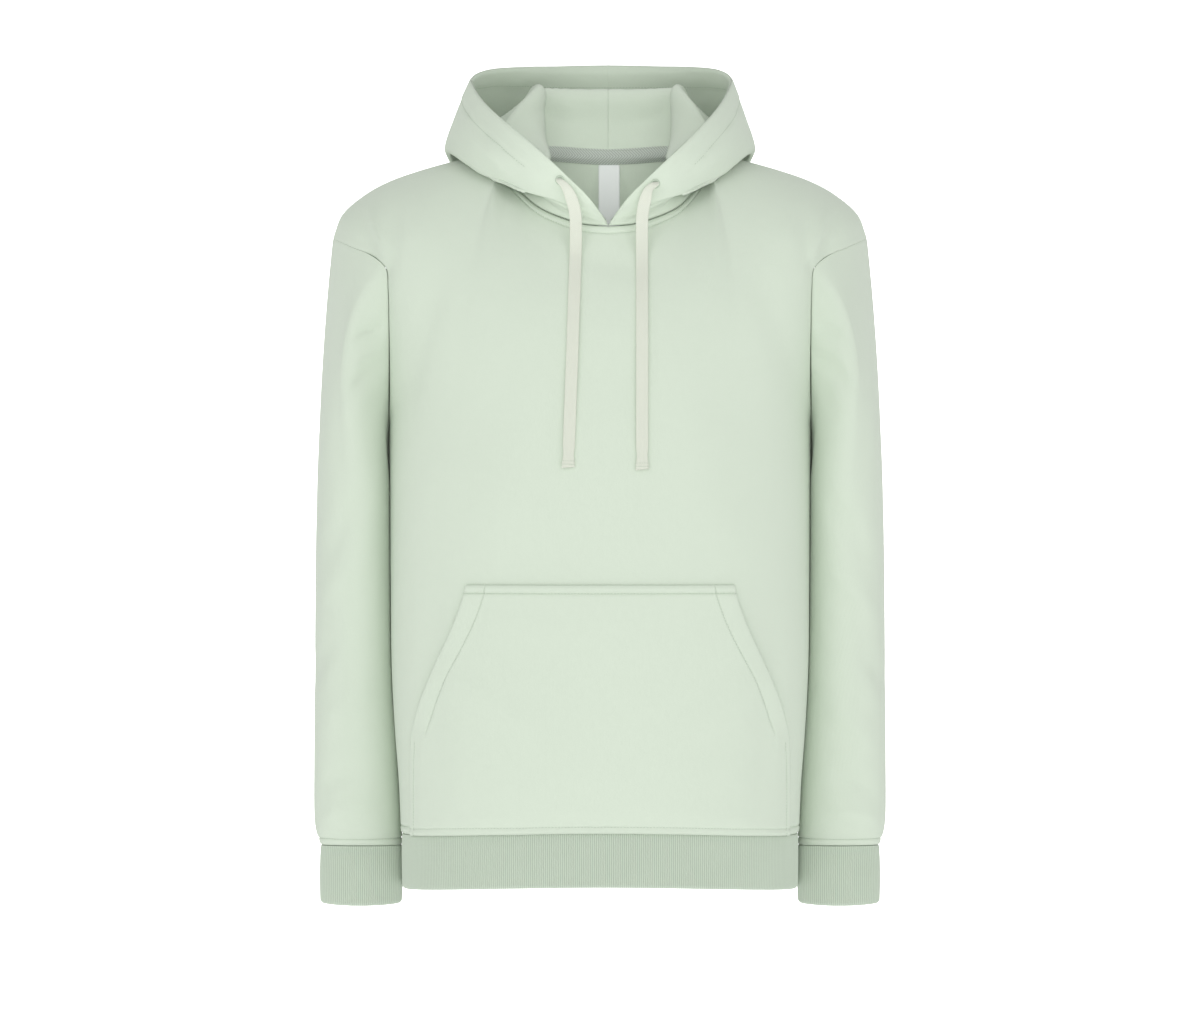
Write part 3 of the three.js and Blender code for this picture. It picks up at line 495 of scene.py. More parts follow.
def jersey_look(name, colour):
    """Brushed jersey: fine knit columns in V stitches, a soft nap, faint mottling, and painted light
    that makes the marked inside faces lighter.
    """
    look = Look(name, 0.95, 0.25)
    u, v = look.cloth_axes()
    wale = (u * (2 * math.pi / 0.0013)).math("COSINE")
    leg = (u * (2 * math.pi / 0.0013)).math("SINE").math("ABSOLUTE")
    course = (v * (2 * math.pi / 0.0011) + leg * 1.6).math("SINE")
    nap = look.noise(900.0, 3.0, 0.7)
    soft = look.noise(26.0, 3.0, 0.5)
    cloud = look.noise(9.0, 2.0, 0.5)
    look.bump(wale * 0.00003 + course * 0.00003 + nap * 0.00022 + soft * 0.0012, 1.0, 1.0)
    # The marked inside faces get a much lighter colour: painted light inside the neck.
    share = nap * 0.5 + cloud * 0.35 + course * 0.05 + 0.05 + look.attribute("painted_light_inside") * 1.4
    look.colour(share, srgb(*colour, 0.955), srgb(*colour, 1.045))
    return look.material


jersey = jersey_look("jersey", JERSEY)
SEAM_ROWS = [0.7, 1.5, 2.6, 6.4, 7.3, 7.9, 8.5, 9.6, 12.0]
SEAM_COLUMNS = [0.7, 1.6, 3.0]
STITCH_IN = 7.9


def seam_dip(run, depth=1.1, spread=1.1):
    return -depth * bell(run, 0, spread)


def stitched(run, at=STITCH_IN, depth=1.3):
    """A row of stitches pulls a fine groove; the turning under it lifts the cloth."""
    lift = 0.75 * smooth(0.8, 2.6, run) * (1 - smooth(at - 1.6, at - 0.1, run))
    return lift - depth * bell(run, at, 0.7) + 0.2 * bell(run, at + 2.2, 1.6)


def line_on(cloth, run, at, part=slice(None), crosswise=False):
    """Points and normals of a cloth at a distance from one edge, column by column."""
    grid, normals, relief = cloth
    g, r, n = grid + normals * relief[..., None], run, normals
    if crosswise:
        g, r, n = g.transpose(1, 0, 2), run.T, normals.transpose(1, 0, 2)
    points, ups = [], []
    for c in range(g.shape[1])[part]:
        order = np.argsort(r[:, c])
        near = int(np.clip(np.searchsorted(r[order, c], at), 1, len(order) - 1))
        low, high = order[near - 1], order[near]
        share = (at - r[low, c]) / (r[high, c] - r[low, c])
        share = min(1, max(0, share))
        points.append(g[low, c] * (1 - share) + g[high, c] * share)
        ups.append(n[low, c] * (1 - share) + n[high, c] * share)
    return np.array(points), np.array(ups)


def stitch_tree():
    """Lays a row of small rounded stitches along each line of edges."""
    tree = bpy.data.node_groups.new("stitch rows", "GeometryNodeTree")
    sockets = tree.interface
    sockets.new_socket("Geometry", in_out="INPUT", socket_type="NodeSocketGeometry")
    for name in ("Pitch", "Length", "Width"):
        sockets.new_socket(name, in_out="INPUT", socket_type="NodeSocketFloat")
    sockets.new_socket("Material", in_out="INPUT", socket_type="NodeSocketMaterial")
    sockets.new_socket("Geometry", in_out="OUTPUT", socket_type="NodeSocketGeometry")
    nodes, link = tree.nodes, tree.links.new
    given, result = nodes.new("NodeGroupInput"), nodes.new("NodeGroupOutput")
    curve = nodes.new("GeometryNodeMeshToCurve")
    link(given.outputs["Geometry"], curve.inputs["Mesh"])
    spaced = nodes.new("GeometryNodeResampleCurve")
    spaced.mode = "LENGTH"
    link(curve.outputs["Curve"], spaced.inputs["Curve"])
    link(given.outputs["Pitch"], spaced.inputs["Length"])
    tangent = nodes.new("GeometryNodeInputTangent")
    up = nodes.new("GeometryNodeInputNamedAttribute")
    up.data_type = "FLOAT_VECTOR"
    up.inputs["Name"].default_value = "up"
    turn = nodes.new("FunctionNodeAlignRotationToVector")
    turn.axis = "X"
    link(tangent.outputs["Tangent"], turn.inputs["Vector"])
    roll = nodes.new("FunctionNodeAlignRotationToVector")
    roll.axis, roll.pivot_axis = "Z", "X"
    link(turn.outputs["Rotation"], roll.inputs["Rotation"])
    link(up.outputs["Attribute"], roll.inputs["Vector"])
    size = nodes.new("ShaderNodeCombineXYZ")
    for axis, name in (("X", "Length"), ("Y", "Width"), ("Z", "Width")):
        link(given.outputs[name], size.inputs[axis])
    stitch = nodes.new("GeometryNodeMeshUVSphere")
    stitch.inputs["Segments"].default_value = 8
    stitch.inputs["Rings"].default_value = 5
    stitch.inputs["Radius"].default_value = 0.5
    placed = nodes.new("GeometryNodeInstanceOnPoints")
    link(spaced.outputs["Curve"], placed.inputs["Points"])
    link(stitch.outputs["Mesh"], placed.inputs["Instance"])
    link(roll.outputs["Rotation"], placed.inputs["Rotation"])
    link(size.outputs["Vector"], placed.inputs["Scale"])
    real = nodes.new("GeometryNodeRealizeInstances")
    link(placed.outputs["Instances"], real.inputs["Geometry"])
    coloured = nodes.new("GeometryNodeSetMaterial")
    link(real.outputs["Geometry"], coloured.inputs["Geometry"])
    link(given.outputs["Material"], coloured.inputs["Material"])
    link(coloured.outputs["Geometry"], result.inputs["Geometry"])
    return tree


def thread_look(name, colour):
    look = Look(name, 0.8, 0.1)
    strand = look.noise(1500.0, 2.0, 0.6)
    look.bump(strand * 0.0001, 1.0, 1.0)
    look.colour(strand, srgb(*colour, 0.93), srgb(*colour, 1.05))
    return look.material


stitch_rows = stitch_tree()
# The thread is a little darker than the cloth: painted shade for the shadow along the stitched
# grooves.
thread = thread_look("thread", (188, 202, 184))


def sewn(name, lines, node, pitch=3.1, long=2.4, wide=0.62):
    """One object with the stitches of all the given lines of points and normals."""
    points, ups, edges = [], [], []
    for line, up in lines:
        first = sum(len(p) for p in points)
        points.append(line + up * wide * 0.12)
        ups.append(up)
        edges += [(first + k, first + k + 1) for k in range(len(line) - 1)]
    mesh = bpy.data.meshes.new(name)
    mesh.from_pydata((np.concatenate(points) * MM).tolist(), edges, [])
    mesh.attributes.new("up", "FLOAT_VECTOR", "POINT").data.foreach_set(
        "vector", np.concatenate(ups).astype(np.float32).ravel())
    thing = bpy.data.objects.new(name, mesh)
    scene.collection.objects.link(thing)
    rows = thing.modifiers.new("stitches", "NODES")
    rows.node_group = stitch_rows
    values = {"Pitch": pitch * MM, "Length": long * MM, "Width": wide * MM, "Material": thread}
    for item in stitch_rows.interface.items_tree:
        if item.in_out == "INPUT" and item.name in values:
            rows[item.identifier] = values[item.name]
    made = bpy.data.meshes.new_from_object(thing.evaluated_get(
        bpy.context.evaluated_depsgraph_get()))
    thing.modifiers.clear()
    thing.data = made
    made.polygons.foreach_set("use_smooth", [True] * len(made.polygons))
    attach(thing, "root")
    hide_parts(node)
    return thing


def panel_cloth(facing, counts, folds):
    """Grid and normals of a panel, with rows and columns for its seams and its folds."""
    grid = full_panel(facing, counts)
    for end in (False, True):
        grid = closer(grid, SEAM_ROWS, end=end)
    for end in (False, True):
        grid = closer(grid, SEAM_COLUMNS, end=end, columns=True)
    grid = settle(grid)
    grid = grid + normals_of(grid, facing < 0) * fold_heights(grid, folds)[..., None]
    return grid, normals_of(grid, facing < 0)


def corner_closed(grid):
    """Nought at the armhole's corner, where a dip would let light through."""
    return 1 - bell(grid[..., 2], ARM_CORNER, CORNER_SPREAD)


def neck_part(grid, half):
    middle = grid.shape[1] // 2
    return slice(middle - half, middle + half + 1)


def panel_relief(grid, neck_half):
    """Dips of the seams and the two stitched lines; also the runs from top and foot."""
    top, foot = run_from(grid), run_from(grid, end=True)
    side = np.minimum(run_from(grid, columns=True), run_from(grid, end=True, columns=True))
    column = np.abs(np.arange(grid.shape[1]) - grid.shape[1] // 2)
    neck = (1 - smooth(neck_half - 0.5, neck_half + 0.5, column))[None, :]
    inner = smooth(0, 16, side)
    relief = (seam_dip(top, 0.6) * inner + stitched(top) * neck + seam_dip(foot, 0.9) * inner
              + stitched(foot) + seam_dip(side, 0.3) * corner_closed(grid) * smooth(0, 14, foot))
    return relief, top, foot


# Columns of half a panel on the neck and the shoulder, and its rows on the yoke, the
# armhole and the side.
FRONT_COUNTS = (24, 24, 30, 12, 64)
FRONT_FOLDS = [
    # from x, z to x, z, width, height
    [-222, -54, -202, -116, 5, 1.7],
    [-232, -64, -213, -114, 6, -1.5],
    [-196, -58, -199, -128, 9, -1.6],
    [220, -54, 201, -114, 5, 1.6],
    [230, -64, 212, -112, 6, -1.5],
    [196, -58, 198, -126, 9, -1.5],
    [-150, -120, -190, -260, 16, -1.6],
    [150, -118, 192, -240, 16, -1.4],
    [-60, -200, -110, -420, 30, 1.3],
    [70, -190, 120, -400, 30, 1.2],
    [-165, -420, -150, -640, 16, -1.6],
    [168, -430, 150, -640, 16, -1.5],
    [-30, -110, 60, -125, 14, -0.9],
    [-120, -640, -60, -648, 9, 0.8],
    [80, -638, 150, -648, 9, 0.8],
]
front_grid, front_normals = panel_cloth(-1, FRONT_COUNTS, FRONT_FOLDS)
front_relief, front_top, front_foot = panel_relief(front_grid, FRONT_COUNTS[0])
front_thick = np.full(front_relief.shape, JERSEY_THICK)
front = shell("cloth_front", front_grid, front_normals, front_thick, front_relief, jersey,
              flip=True)
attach(front, "root")
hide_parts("front")
front_cloth = (front_grid, front_normals, front_relief)
front_stitches = sewn("stitches_front", [
    line_on(front_cloth, front_top, STITCH_IN, neck_part(front_grid, FRONT_COUNTS[0])),
    line_on(front_cloth, front_foot, STITCH_IN),
], "front")


# Back panel: the same cloth in one piece with a higher neck, sewn to the front along
# the shoulders and down the sides, and brushed on the inside like every panel. Its inside faces are
# painted lighter: painted light for the light that reaches in through the neck.
BACK_COUNTS = (20, 24, 30, 12, 64)
BACK_FOLDS = [
    # from x, z to x, z, width, height
    [-192, -60, -203, -130, 9, -2.2],
    [194, -62, 205, -128, 9, -2.4],
    [-140, -70, -188, -230, 18, -2.0],
    [146, -76, 190, -250, 18, -1.8],
    [-70, -150, -40, -420, 34, 1.6],
    [60, -160, 90, -400, 30, 1.4],
    [-20, -300, 20, -600, 40, -1.5],
    [-160, -460, -140, -640, 18, -1.6],
    [150, -440, 160, -640, 18, -1.6],
    [-90, -570, 60, -600, 22, -1.3],
]
back_grid, back_normals = panel_cloth(1, BACK_COUNTS, BACK_FOLDS)
back_relief, back_top, back_foot = panel_relief(back_grid, BACK_COUNTS[0])
back_thick = np.full(back_relief.shape, JERSEY_THICK)
back = shell("cloth_back", back_grid, back_normals, back_thick, back_relief, jersey)
# Marks the inner faces, which the jersey paints lighter as painted light inside the neck.
inside_painted_light = np.repeat([0.0, 1.0], back_relief.size).astype(np.float32)
back.data.attributes.new("painted_light_inside", "FLOAT", "POINT").data.foreach_set("value", inside_painted_light)
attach(back, "root")
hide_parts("back")
back_cloth = (back_grid, back_normals, back_relief)
back_stitches = sewn("stitches_back", [
    line_on(back_cloth, back_top, STITCH_IN, neck_part(back_grid, BACK_COUNTS[0])),
    line_on(back_cloth, back_foot, STITCH_IN),
], "back")


# Kangaroo pocket: one piece of the body cloth, top-stitched on the front along its
# top edge, its lower sides and the hem, with a slanted curved opening at each side.
POCKET = np.array([
    # z, half width
    [-422, 127], [-433, 129], [-457, 137], [-485, 149], [-516, 163], [-530, 169],
    [-547, 174.5], [-570, 180], [-657, 181],
], float)
POCKET_TOP, POCKET_FOOT = -422, -656
POCKET_GAP = 0.7
POCKET_FOOT_UP = 0.5
POCKET_ROWS = np.concatenate([
    POCKET_TOP - np.array([0, 0.8, 1.8, 3, 6.4, 7.3, 7.9, 8.5, 9.6]),
    np.linspace(-434, -642, 50),
    POCKET_FOOT + np.array([11, 8.8, 8.0, 7.4, 6.8, 6.0, 3.5, 1.8, 0.8, 0]),
])
# The opening's strip has two rows of stitches, the outer one with thread on it.
OPENING_STITCH, OPENING_SECOND = 20.3, 18.4
POCKET_COLUMNS = [0.8, 1.8, 3.0, 17.4, 18.1, 18.7, 19.5, 20.3, 20.9, 21.6]
POCKET_TURN = 1.25
POCKET_FOLDS = [
    # from x, z to x, z, width, height
    [-150, -500, -60, -560, 12, 1.2],
    [154, -505, 70, -575, 12, 1.1],
    [-120, -436, -30, -446, 9, -0.8],
    [20, -600, 120, -628, 16, -0.9],
    [-110, -610, -40, -636, 14, 0.9],
]


SEAT_POINTS = 12


class Seat:
    """Place and normal of a panel at x and z, fitted to the nearest of its points."""

    def __init__(self, grid, normals):
        self.points = grid.reshape(-1, 3)
        self.normals = normals.reshape(-1, 3)

    def __call__(self, x, z):
        x, z = np.broadcast_arrays(np.asarray(x, float), np.asarray(z, float))
        place = np.zeros(x.shape + (3,))
        normal = np.zeros(x.shape + (3,))
        for at in np.ndindex(x.shape):
            off = (self.points[:, 0] - x[at]) ** 2 + (self.points[:, 2] - z[at]) ** 2
            near = np.argpartition(off, SEAT_POINTS)[:SEAT_POINTS]
            p, n = self.points[near], self.normals[near]
            weight = np.exp(-off[near] / (off[near].mean() + 1e-6))
            plan = np.stack([np.ones(SEAT_POINTS), p[:, 0] - x[at], p[:, 2] - z[at]], axis=1)
            fit = np.linalg.lstsq(plan * weight[:, None], p[:, 1] * weight, rcond=None)[0]
            place[at] = (x[at], fit[0], z[at])
            mean = (n * weight[:, None]).sum(axis=0)
            normal[at] = mean / np.linalg.norm(mean)
        return place, normal


front_face = Seat(front_grid, front_normals)
pocket_share = np.linspace(-1, 1, 61)
pocket_rows = []
for z in POCKET_ROWS:
    half = float(read(POCKET, 1, z))
    across = np.sin(pocket_share * POCKET_TURN) / math.sin(POCKET_TURN) * half
    foot = np.interp(across, front_grid[-1][:, 0], front_grid[-1][:, 2]) + POCKET_FOOT_UP
    pocket_rows.append([across, z + (foot - POCKET_FOOT) * smooth(-575, POCKET_FOOT, z)])
pocket_plan = np.array(pocket_rows)
pocket_grid = front_face(pocket_plan[:, 0], pocket_plan[:, 1])[0]
for end in (False, True):
    pocket_grid = closer(pocket_grid, POCKET_COLUMNS, columns=True, end=end)
pocket_normals = normals_of(pocket_grid, True)
run_left = run_from(pocket_grid, columns=True)
run_right = run_from(pocket_grid, columns=True, end=True)
run_top = run_from(pocket_grid)
run_side = np.minimum(run_left, run_right)
row_z = pocket_grid[..., 2]
is_open = smooth(-566, -548, row_z) * (1 - smooth(-436, -426, row_z))
across_share = (run_left - run_right) / (run_left + run_right)
down_share = np.clip((POCKET_TOP - row_z) / (POCKET_TOP - POCKET_FOOT), 0, 1)
opening_share = np.clip((-426 - row_z) / 140, 0, 1)
lift = 2.6 * np.sin(down_share * math.pi) ** 0.8 * np.cos(across_share * math.pi / 2) ** 0.7
lift += 1.6 * is_open * np.exp(-run_side / 16) * np.sin(opening_share * math.pi)
lift += fold_heights(pocket_grid, POCKET_FOLDS) * np.sin(down_share * math.pi)
pocket_grid = pocket_grid + pocket_normals * (POCKET_GAP + JERSEY_THICK + lift)[..., None]
pocket_normals = normals_of(pocket_grid, True)
free_edge = -0.75 * bell(np.minimum(run_top, run_side), 0, 1.0)
run_foot = run_from(pocket_grid, end=True)
foot_at = STITCH_IN - POCKET_FOOT_UP
side_at = STITCH_IN + (OPENING_STITCH - STITCH_IN) * smooth(-572, -562, row_z)
groove = -1.1 * bell(run_side, side_at, 0.7) - 0.6 * bell(run_side, OPENING_SECOND, 0.6) * is_open
pocket_relief = free_edge + groove + stitched(run_top) + stitched(run_foot, foot_at)
pocket_relief += 0.5 * (1 - smooth(side_at - 1.2, side_at - 0.3, run_side)) * is_open
pocket_thick = JERSEY_THICK + 0.6 * free_edge
pocket = shell("cloth_pocket", pocket_grid, pocket_normals, pocket_thick, pocket_relief, jersey,
               flip=True)
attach(pocket, "root")
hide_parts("pocket")
pocket_cloth = (pocket_grid, pocket_normals, pocket_relief)
pocket_lines = [line_on(pocket_cloth, run_top, STITCH_IN),
                line_on(pocket_cloth, run_foot, foot_at)]
SIDE_STITCHES = [
    # distance from the side edge, lowest z, highest z
    [OPENING_STITCH, -560, -424],
    [STITCH_IN, -700, -572],
]
for run in (run_left, run_right):
    for at, low, high in SIDE_STITCHES:
        line, ups = line_on(pocket_cloth, run, at, crosswise=True)
        kept = (line[:, 2] > low) & (line[:, 2] < high)
        pocket_lines.append((line[kept], ups[kept]))
pocket_stitches = sewn("stitches_pocket", pocket_lines, "pocket")


# Sleeves: one piece each of the body cloth, sewn into the dropped armhole, closed
# under the arm and drawn in to the cuff; they hang beside the body, just clear.
SLEEVE = np.array([
    # z, outer, inner, front, back
    [-330, 275, 199, -58, 92],
    [-385, 276.3, 199, -50, 86],
    [-440, 277, 198.5, -40, 80],
    [-535, 278, 197, -24, 70],
    [-600, 278.5, 195, -15, 64],
    [-645, 278.5, 193.5, -10.5, 60],
    [-662, 277, 193, -7, 56.5],
    [-671, 274, 193, -1, 50.5],
    [-677, 271.8, 193.2, 3, 47],
], float)
SLEEVE_TOP = -330
SLEEVE_POWER = 2.2
RING_STEPS = 4
TORSO_CLEAR = 0.5
# Number of the ring whose length stands for the sleeve's girth where folds are placed.
GIRTH_RING = 60


def torso_side(y, z):
    depth = np.where(y < 0, read(TORSO, FRONT, z), read(TORSO, BACK, z))
    part = np.clip(np.abs(y) / depth, 0, 1)
    return read(TORSO, SIDE, z) * (1 - part ** RING_POWER).clip(0) ** (1 / RING_POWER)


def sleeve_ring(z, turn):
    outer, inner = float(read(SLEEVE, 1, z)), float(read(SLEEVE, 2, z))
    front_y, back_y = float(read(SLEEVE, 3, z)), float(read(SLEEVE, 4, z))
    c, s = np.cos(turn), np.sin(turn)
    wide = np.sign(c) * np.abs(c) ** (2 / SLEEVE_POWER)
    deep = np.sign(s) * np.abs(s) ** (2 / SLEEVE_POWER)
    x = -(outer + inner) / 2 - wide * (outer - inner) / 2
    y = (front_y + back_y) / 2 - deep * (back_y - front_y) / 2
    level = np.full(y.shape, float(z))
    x = np.minimum(x, -torso_side(y, level) - TORSO_CLEAR)
    return np.stack([x, y, level], axis=1)


def sleeve_base():
    last = len(ARMHOLE) - 1
    rear = ARMHOLE[::-1] * np.array([1, -BACK_ARM, 1])
    loop = np.concatenate([ARMHOLE, rear[1:]])
    count = 2 * last * RING_STEPS
    seam = spline(loop, np.arange(count) / RING_STEPS)
    turn = np.arange(count) / count * 2 * math.pi
    first, below = sleeve_ring(SLEEVE_TOP, turn), sleeve_ring(SLEEVE_TOP - 20, turn)
    reach = np.linalg.norm(first - seam, axis=1, keepdims=True)
    flank = np.sin(turn)
    leave = np.stack([-0.11 - 0.75 * flank ** 2, -0.2 * flank, -1 + 0.45 * flank ** 2], axis=1)
    leave *= reach / np.linalg.norm(leave, axis=1, keepdims=True)
    arrive = below - first
    arrive *= reach / np.linalg.norm(arrive, axis=1, keepdims=True)
    rings = []
    for t in np.linspace(0, 1, 33)[:-1]:
        t2, t3 = t * t, t * t * t
        ring = ((2 * t3 - 3 * t2 + 1) * seam + (t3 - 2 * t2 + t) * leave
                + (3 * t2 - 2 * t3) * first + (t3 - t2) * arrive)
        if t > 0:
            side = -torso_side(ring[:, 1], ring[:, 2]) - TORSO_CLEAR
            low = smooth(-235, -255, ring[:, 2])
            ring[:, 0] = ring[:, 0] + (np.minimum(ring[:, 0], side) - ring[:, 0]) * low
        rings.append(ring)
    for z in np.concatenate([np.linspace(SLEEVE_TOP, -640, 60), np.linspace(-644, -677, 12)]):
        rings.append(sleeve_ring(z, turn))
    return np.array(rings), turn


SLEEVE_FOLDS = {
    # turn from, z from, turn to, z to, width in mm, height: turn is 0 outside, 0.25 in
    # front, 0.5 at the body and 0.75 behind
    "right": [
        [0.36, -172, 0.24, -186, 7, -2.2], [0.37, -193, 0.25, -212, 7, 1.6],
        [0.38, -210, 0.24, -236, 8, -2.0], [0.36, -238, 0.20, -262, 10, 1.3],
        [0.10, -150, 0.22, -330, 18, -2.2], [0.30, -330, 0.14, -400, 16, -2.0],
        [0.34, -390, 0.10, -440, 14, 1.6], [0.20, -470, 0.02, -520, 16, -1.8],
        [0.32, -520, 0.12, -560, 13, 1.4], [0.28, -600, 0.10, -622, 10, -1.6],
        [0.30, -634, 0.12, -648, 8, 1.5], [0.66, -300, 0.80, -380, 16, -2.4],
        [0.62, -400, 0.84, -450, 14, 1.8], [0.68, -520, 0.88, -560, 14, -1.8],
        [0.64, -610, 0.86, -634, 10, 1.6], [0.90, -200, 0.80, -300, 16, -1.8],
    ],
    "left": [
        [0.36, -168, 0.25, -184, 7, -2.0], [0.37, -190, 0.24, -206, 7, 1.5],
        [0.38, -206, 0.25, -230, 8, -2.1], [0.35, -236, 0.22, -256, 10, 1.2],
        [0.12, -150, 0.20, -340, 18, -2.0], [0.32, -340, 0.16, -404, 15, -1.8],
        [0.33, -402, 0.10, -462, 14, 1.7], [0.22, -484, 0.04, -526, 15, -1.9],
        [0.31, -540, 0.14, -578, 12, 1.5], [0.29, -606, 0.12, -628, 9, -1.5],
        [0.30, -640, 0.10, -650, 8, 1.4], [0.65, -310, 0.82, -370, 16, -2.2],
        [0.63, -410, 0.82, -468, 14, 1.9], [0.67, -530, 0.86, -566, 13, -1.7],
        [0.66, -618, 0.84, -640, 10, 1.5], [0.90, -210, 0.82, -310, 16, -1.7],
    ],
}
CUFF_STITCH = 7.2
sleeve_ends = {}


def sleeve_piece(side):
    grid, turn = sleeve_base()
    grid = closer(grid, SEAM_COLUMNS)
    grid = closer(grid, SEAM_ROWS, end=True)
    mirror = 1 if side == "right" else -1
    flip = side == "right"
    grid = grid * np.array([mirror, 1, 1])
    normals = normals_of(grid, flip, ring=True)
    around = np.broadcast_to(turn / (2 * math.pi), grid.shape[:2])
    girth = closed_length(grid[GIRTH_RING])
    plane = np.stack([around * girth, grid[..., 1] * 0, grid[..., 2]], axis=-1)
    folds = [[a * girth, b, c * girth, d, w, h] for a, b, c, d, w, h in SLEEVE_FOLDS[side]]
    body_side = bell(around, 0.5, 0.16)
    push = fold_heights(plane, folds) * (1 - body_side)
    fade = smooth(0, 14, run_from(grid)) * smooth(0, 10, run_from(grid, end=True))
    grid = grid + normals * (push * fade)[..., None]
    normals = normals_of(grid, flip, ring=True)
    top, foot = run_from(grid), run_from(grid, end=True)
    relief = (seam_dip(top, 0.5) * corner_closed(grid) + seam_dip(foot, 0.5)
              + stitched(foot, CUFF_STITCH))
    thing = shell("cloth_sleeve_" + side, grid, normals, np.full(relief.shape, JERSEY_THICK), relief,
                  jersey, ring=True, flip=flip)
    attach(thing, "root")
    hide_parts("sleeve_" + side)
    line, ups = line_on((grid, normals, relief), foot, CUFF_STITCH)
    loop = (np.vstack([line, line[:1]]), np.vstack([ups, ups[:1]]))
    stitches = sewn("stitches_sleeve_" + side, [loop], "sleeve_" + side)
    sleeve_ends[side] = grid[-1]


sleeve_piece("right")
sleeve_piece("left")


# Cuffs: one by one rib knitted as a tube, folded double with the fold at the wrist,
# and sewn on stretched, so the sleeve's end bells over it.
RIB = (203, 216, 199)
RIB_THICK = 3.0
RIB_PITCH = 2.03
RIB_HEIGHT = 0.5
CUFF_HEIGHT = 56
CUFF_X, CUFF_Y = -232.6, 25
CUFF_SEAM = 0.34


def rib_look(name, colour):
    """Rib knit: the ribs are in the mesh; here come stitches, mottling and painted shade that
    darkens the furrows.
    """
    look = Look(name, 0.95, 0.2)
    u, v = look.cloth_axes()
    crest = look.attribute("crest")
    course = (v * (2 * math.pi / 0.0012)).math("SINE")
    nap = look.noise(900.0, 3.0, 0.7)
    cloud = look.noise(14.0, 2.0, 0.5)
    look.bump(course * 0.00003 + nap * 0.00015, 1.0, 1.0)
    # The crest share paints the furrows darker: painted shade between the ribs.
    look.colour(nap * 0.2 + cloud * 0.2 + crest * 0.6, srgb(*colour, 0.78), srgb(*colour, 1.1))
    return look.material


rib = rib_look("rib", RIB)


def rib_wave(columns, height):
    """Four columns a rib: two on its crest, two in the furrow."""
    return height * np.array([1.0, 1.0, -1.0, -1.0])[np.arange(columns) % 4]


def rib_tube(name, top, shape, rows, flip):
    """A ribbed tube below a closed line. Shape gives the line's place at a row's share."""
    girth = closed_length(top)
    columns = int(round(girth / RIB_PITCH)) * 4
    steps = np.linspace(0, girth, columns + 1)[:-1]
    line = along(np.vstack([top, top[:1]]), steps)
    grid = np.array([shape(line, part, steps / girth) for part in rows])
    normals = normals_of(grid, flip, ring=True)
    for _ in range(3):
        normals = (np.roll(normals, 2, 1) + normals + np.roll(normals, -2, 1)) / 3
    normals /= np.linalg.norm(normals, axis=2, keepdims=True)
    run, foot = run_from(grid), run_from(grid, end=True)
    fade = smooth(0.2, 2.2, run) * smooth(0.0, 2.4, foot)
    edge = np.abs(grid[0, :, 0] - grid[0, :, 0].mean())
    inner = smooth(2, 14, edge.max() - edge)[None, :]
    relief = (rib_wave(columns, RIB_HEIGHT)[None, :] * fade + seam_dip(run, 0.4, 0.8) * inner
              + seam_dip(foot, 1.0, 1.0))
    thick = RIB_THICK + seam_dip(foot, 1.1, 1.2)
    thing = shell(name, grid, normals, thick, relief, rib, ring=True, flip=flip)
    # Share for the painted shade: 1 on the crests, 0 in the furrows, which the rib look paints
    # darker.
    crest = np.broadcast_to(rib_wave(columns, 0.5) + 0.5, relief.shape).ravel()
    store = thing.data.attributes.new("crest", "FLOAT", "POINT")
    store.data.foreach_set("value", np.tile(crest, 2).astype(np.float32))
    return thing


CUFF_ROWS = np.concatenate([[0, 0.6, 1.4, 2.6], np.linspace(5, 49, 16),
                            [51.5, 53.4, 54.7, 55.5, 56]]) / CUFF_HEIGHT


def cuff_piece(side):
    mirror = 1 if side == "right" else -1
    flip = side == "right"
    wave = 2 * math.pi * (3.0 if side == "right" else 2.6)

    def shape(line, part, around):
        swell = math.sin(part * math.pi)
        wider = 1 + 0.02 * swell
        x = CUFF_X + (line[:, 0] * mirror - CUFF_X) * wider - 0.3 * part
        bend = 0.5 * np.sin(wave * around + 4 * part) * swell
        y = CUFF_Y + (line[:, 1] - CUFF_Y) * wider + bend
        tilt = 2.5 * np.sin(2 * math.pi * around) * part
        z = line[:, 2] - CUFF_HEIGHT * part - tilt - CUFF_SEAM * (part == 0)
        return np.stack([x * mirror, y, z], axis=1)

    thing = rib_tube("cloth_cuff_" + side, sleeve_ends[side], shape, CUFF_ROWS, flip)
    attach(thing, "root")
    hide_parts("cuff_" + side)


cuff_piece("right")
cuff_piece("left")


# Hem band: the same rib in one folded tube with its seam at the side, sewn on a
# little stretched, so the body blouses over it.
BAND_HEIGHT = 52.4
BAND_SEAM = 0.1
BAND_WAVES = 9
BAND_ROWS = np.concatenate([[0, 0.6, 1.4, 2.6], np.linspace(5, 45, 14),
                            [47.8, 49.8, 51.1, 51.9, 52.4]]) / BAND_HEIGHT


def band_shape(line, part, around):
    swell = math.sin(part * math.pi)
    draw = 1 - 0.002 * part + 0.002 * swell
    ease = 0.35 * np.sin(2 * math.pi * BAND_WAVES * around + 5 * part) * swell
    x = line[:, 0] * draw
    y = line[:, 1] * draw + ease * np.sign(line[:, 1])
    z = line[:, 2] - BAND_HEIGHT * part - BAND_SEAM * (part == 0)
    return np.stack([x, y, z], axis=1)


band_top = np.concatenate([front_grid[-1], back_grid[-1][::-1][1:-1]])
hem_band = rib_tube("cloth_hem_band", band_top, band_shape, BAND_ROWS, True)
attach(hem_band, "root")
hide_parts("hem_band")


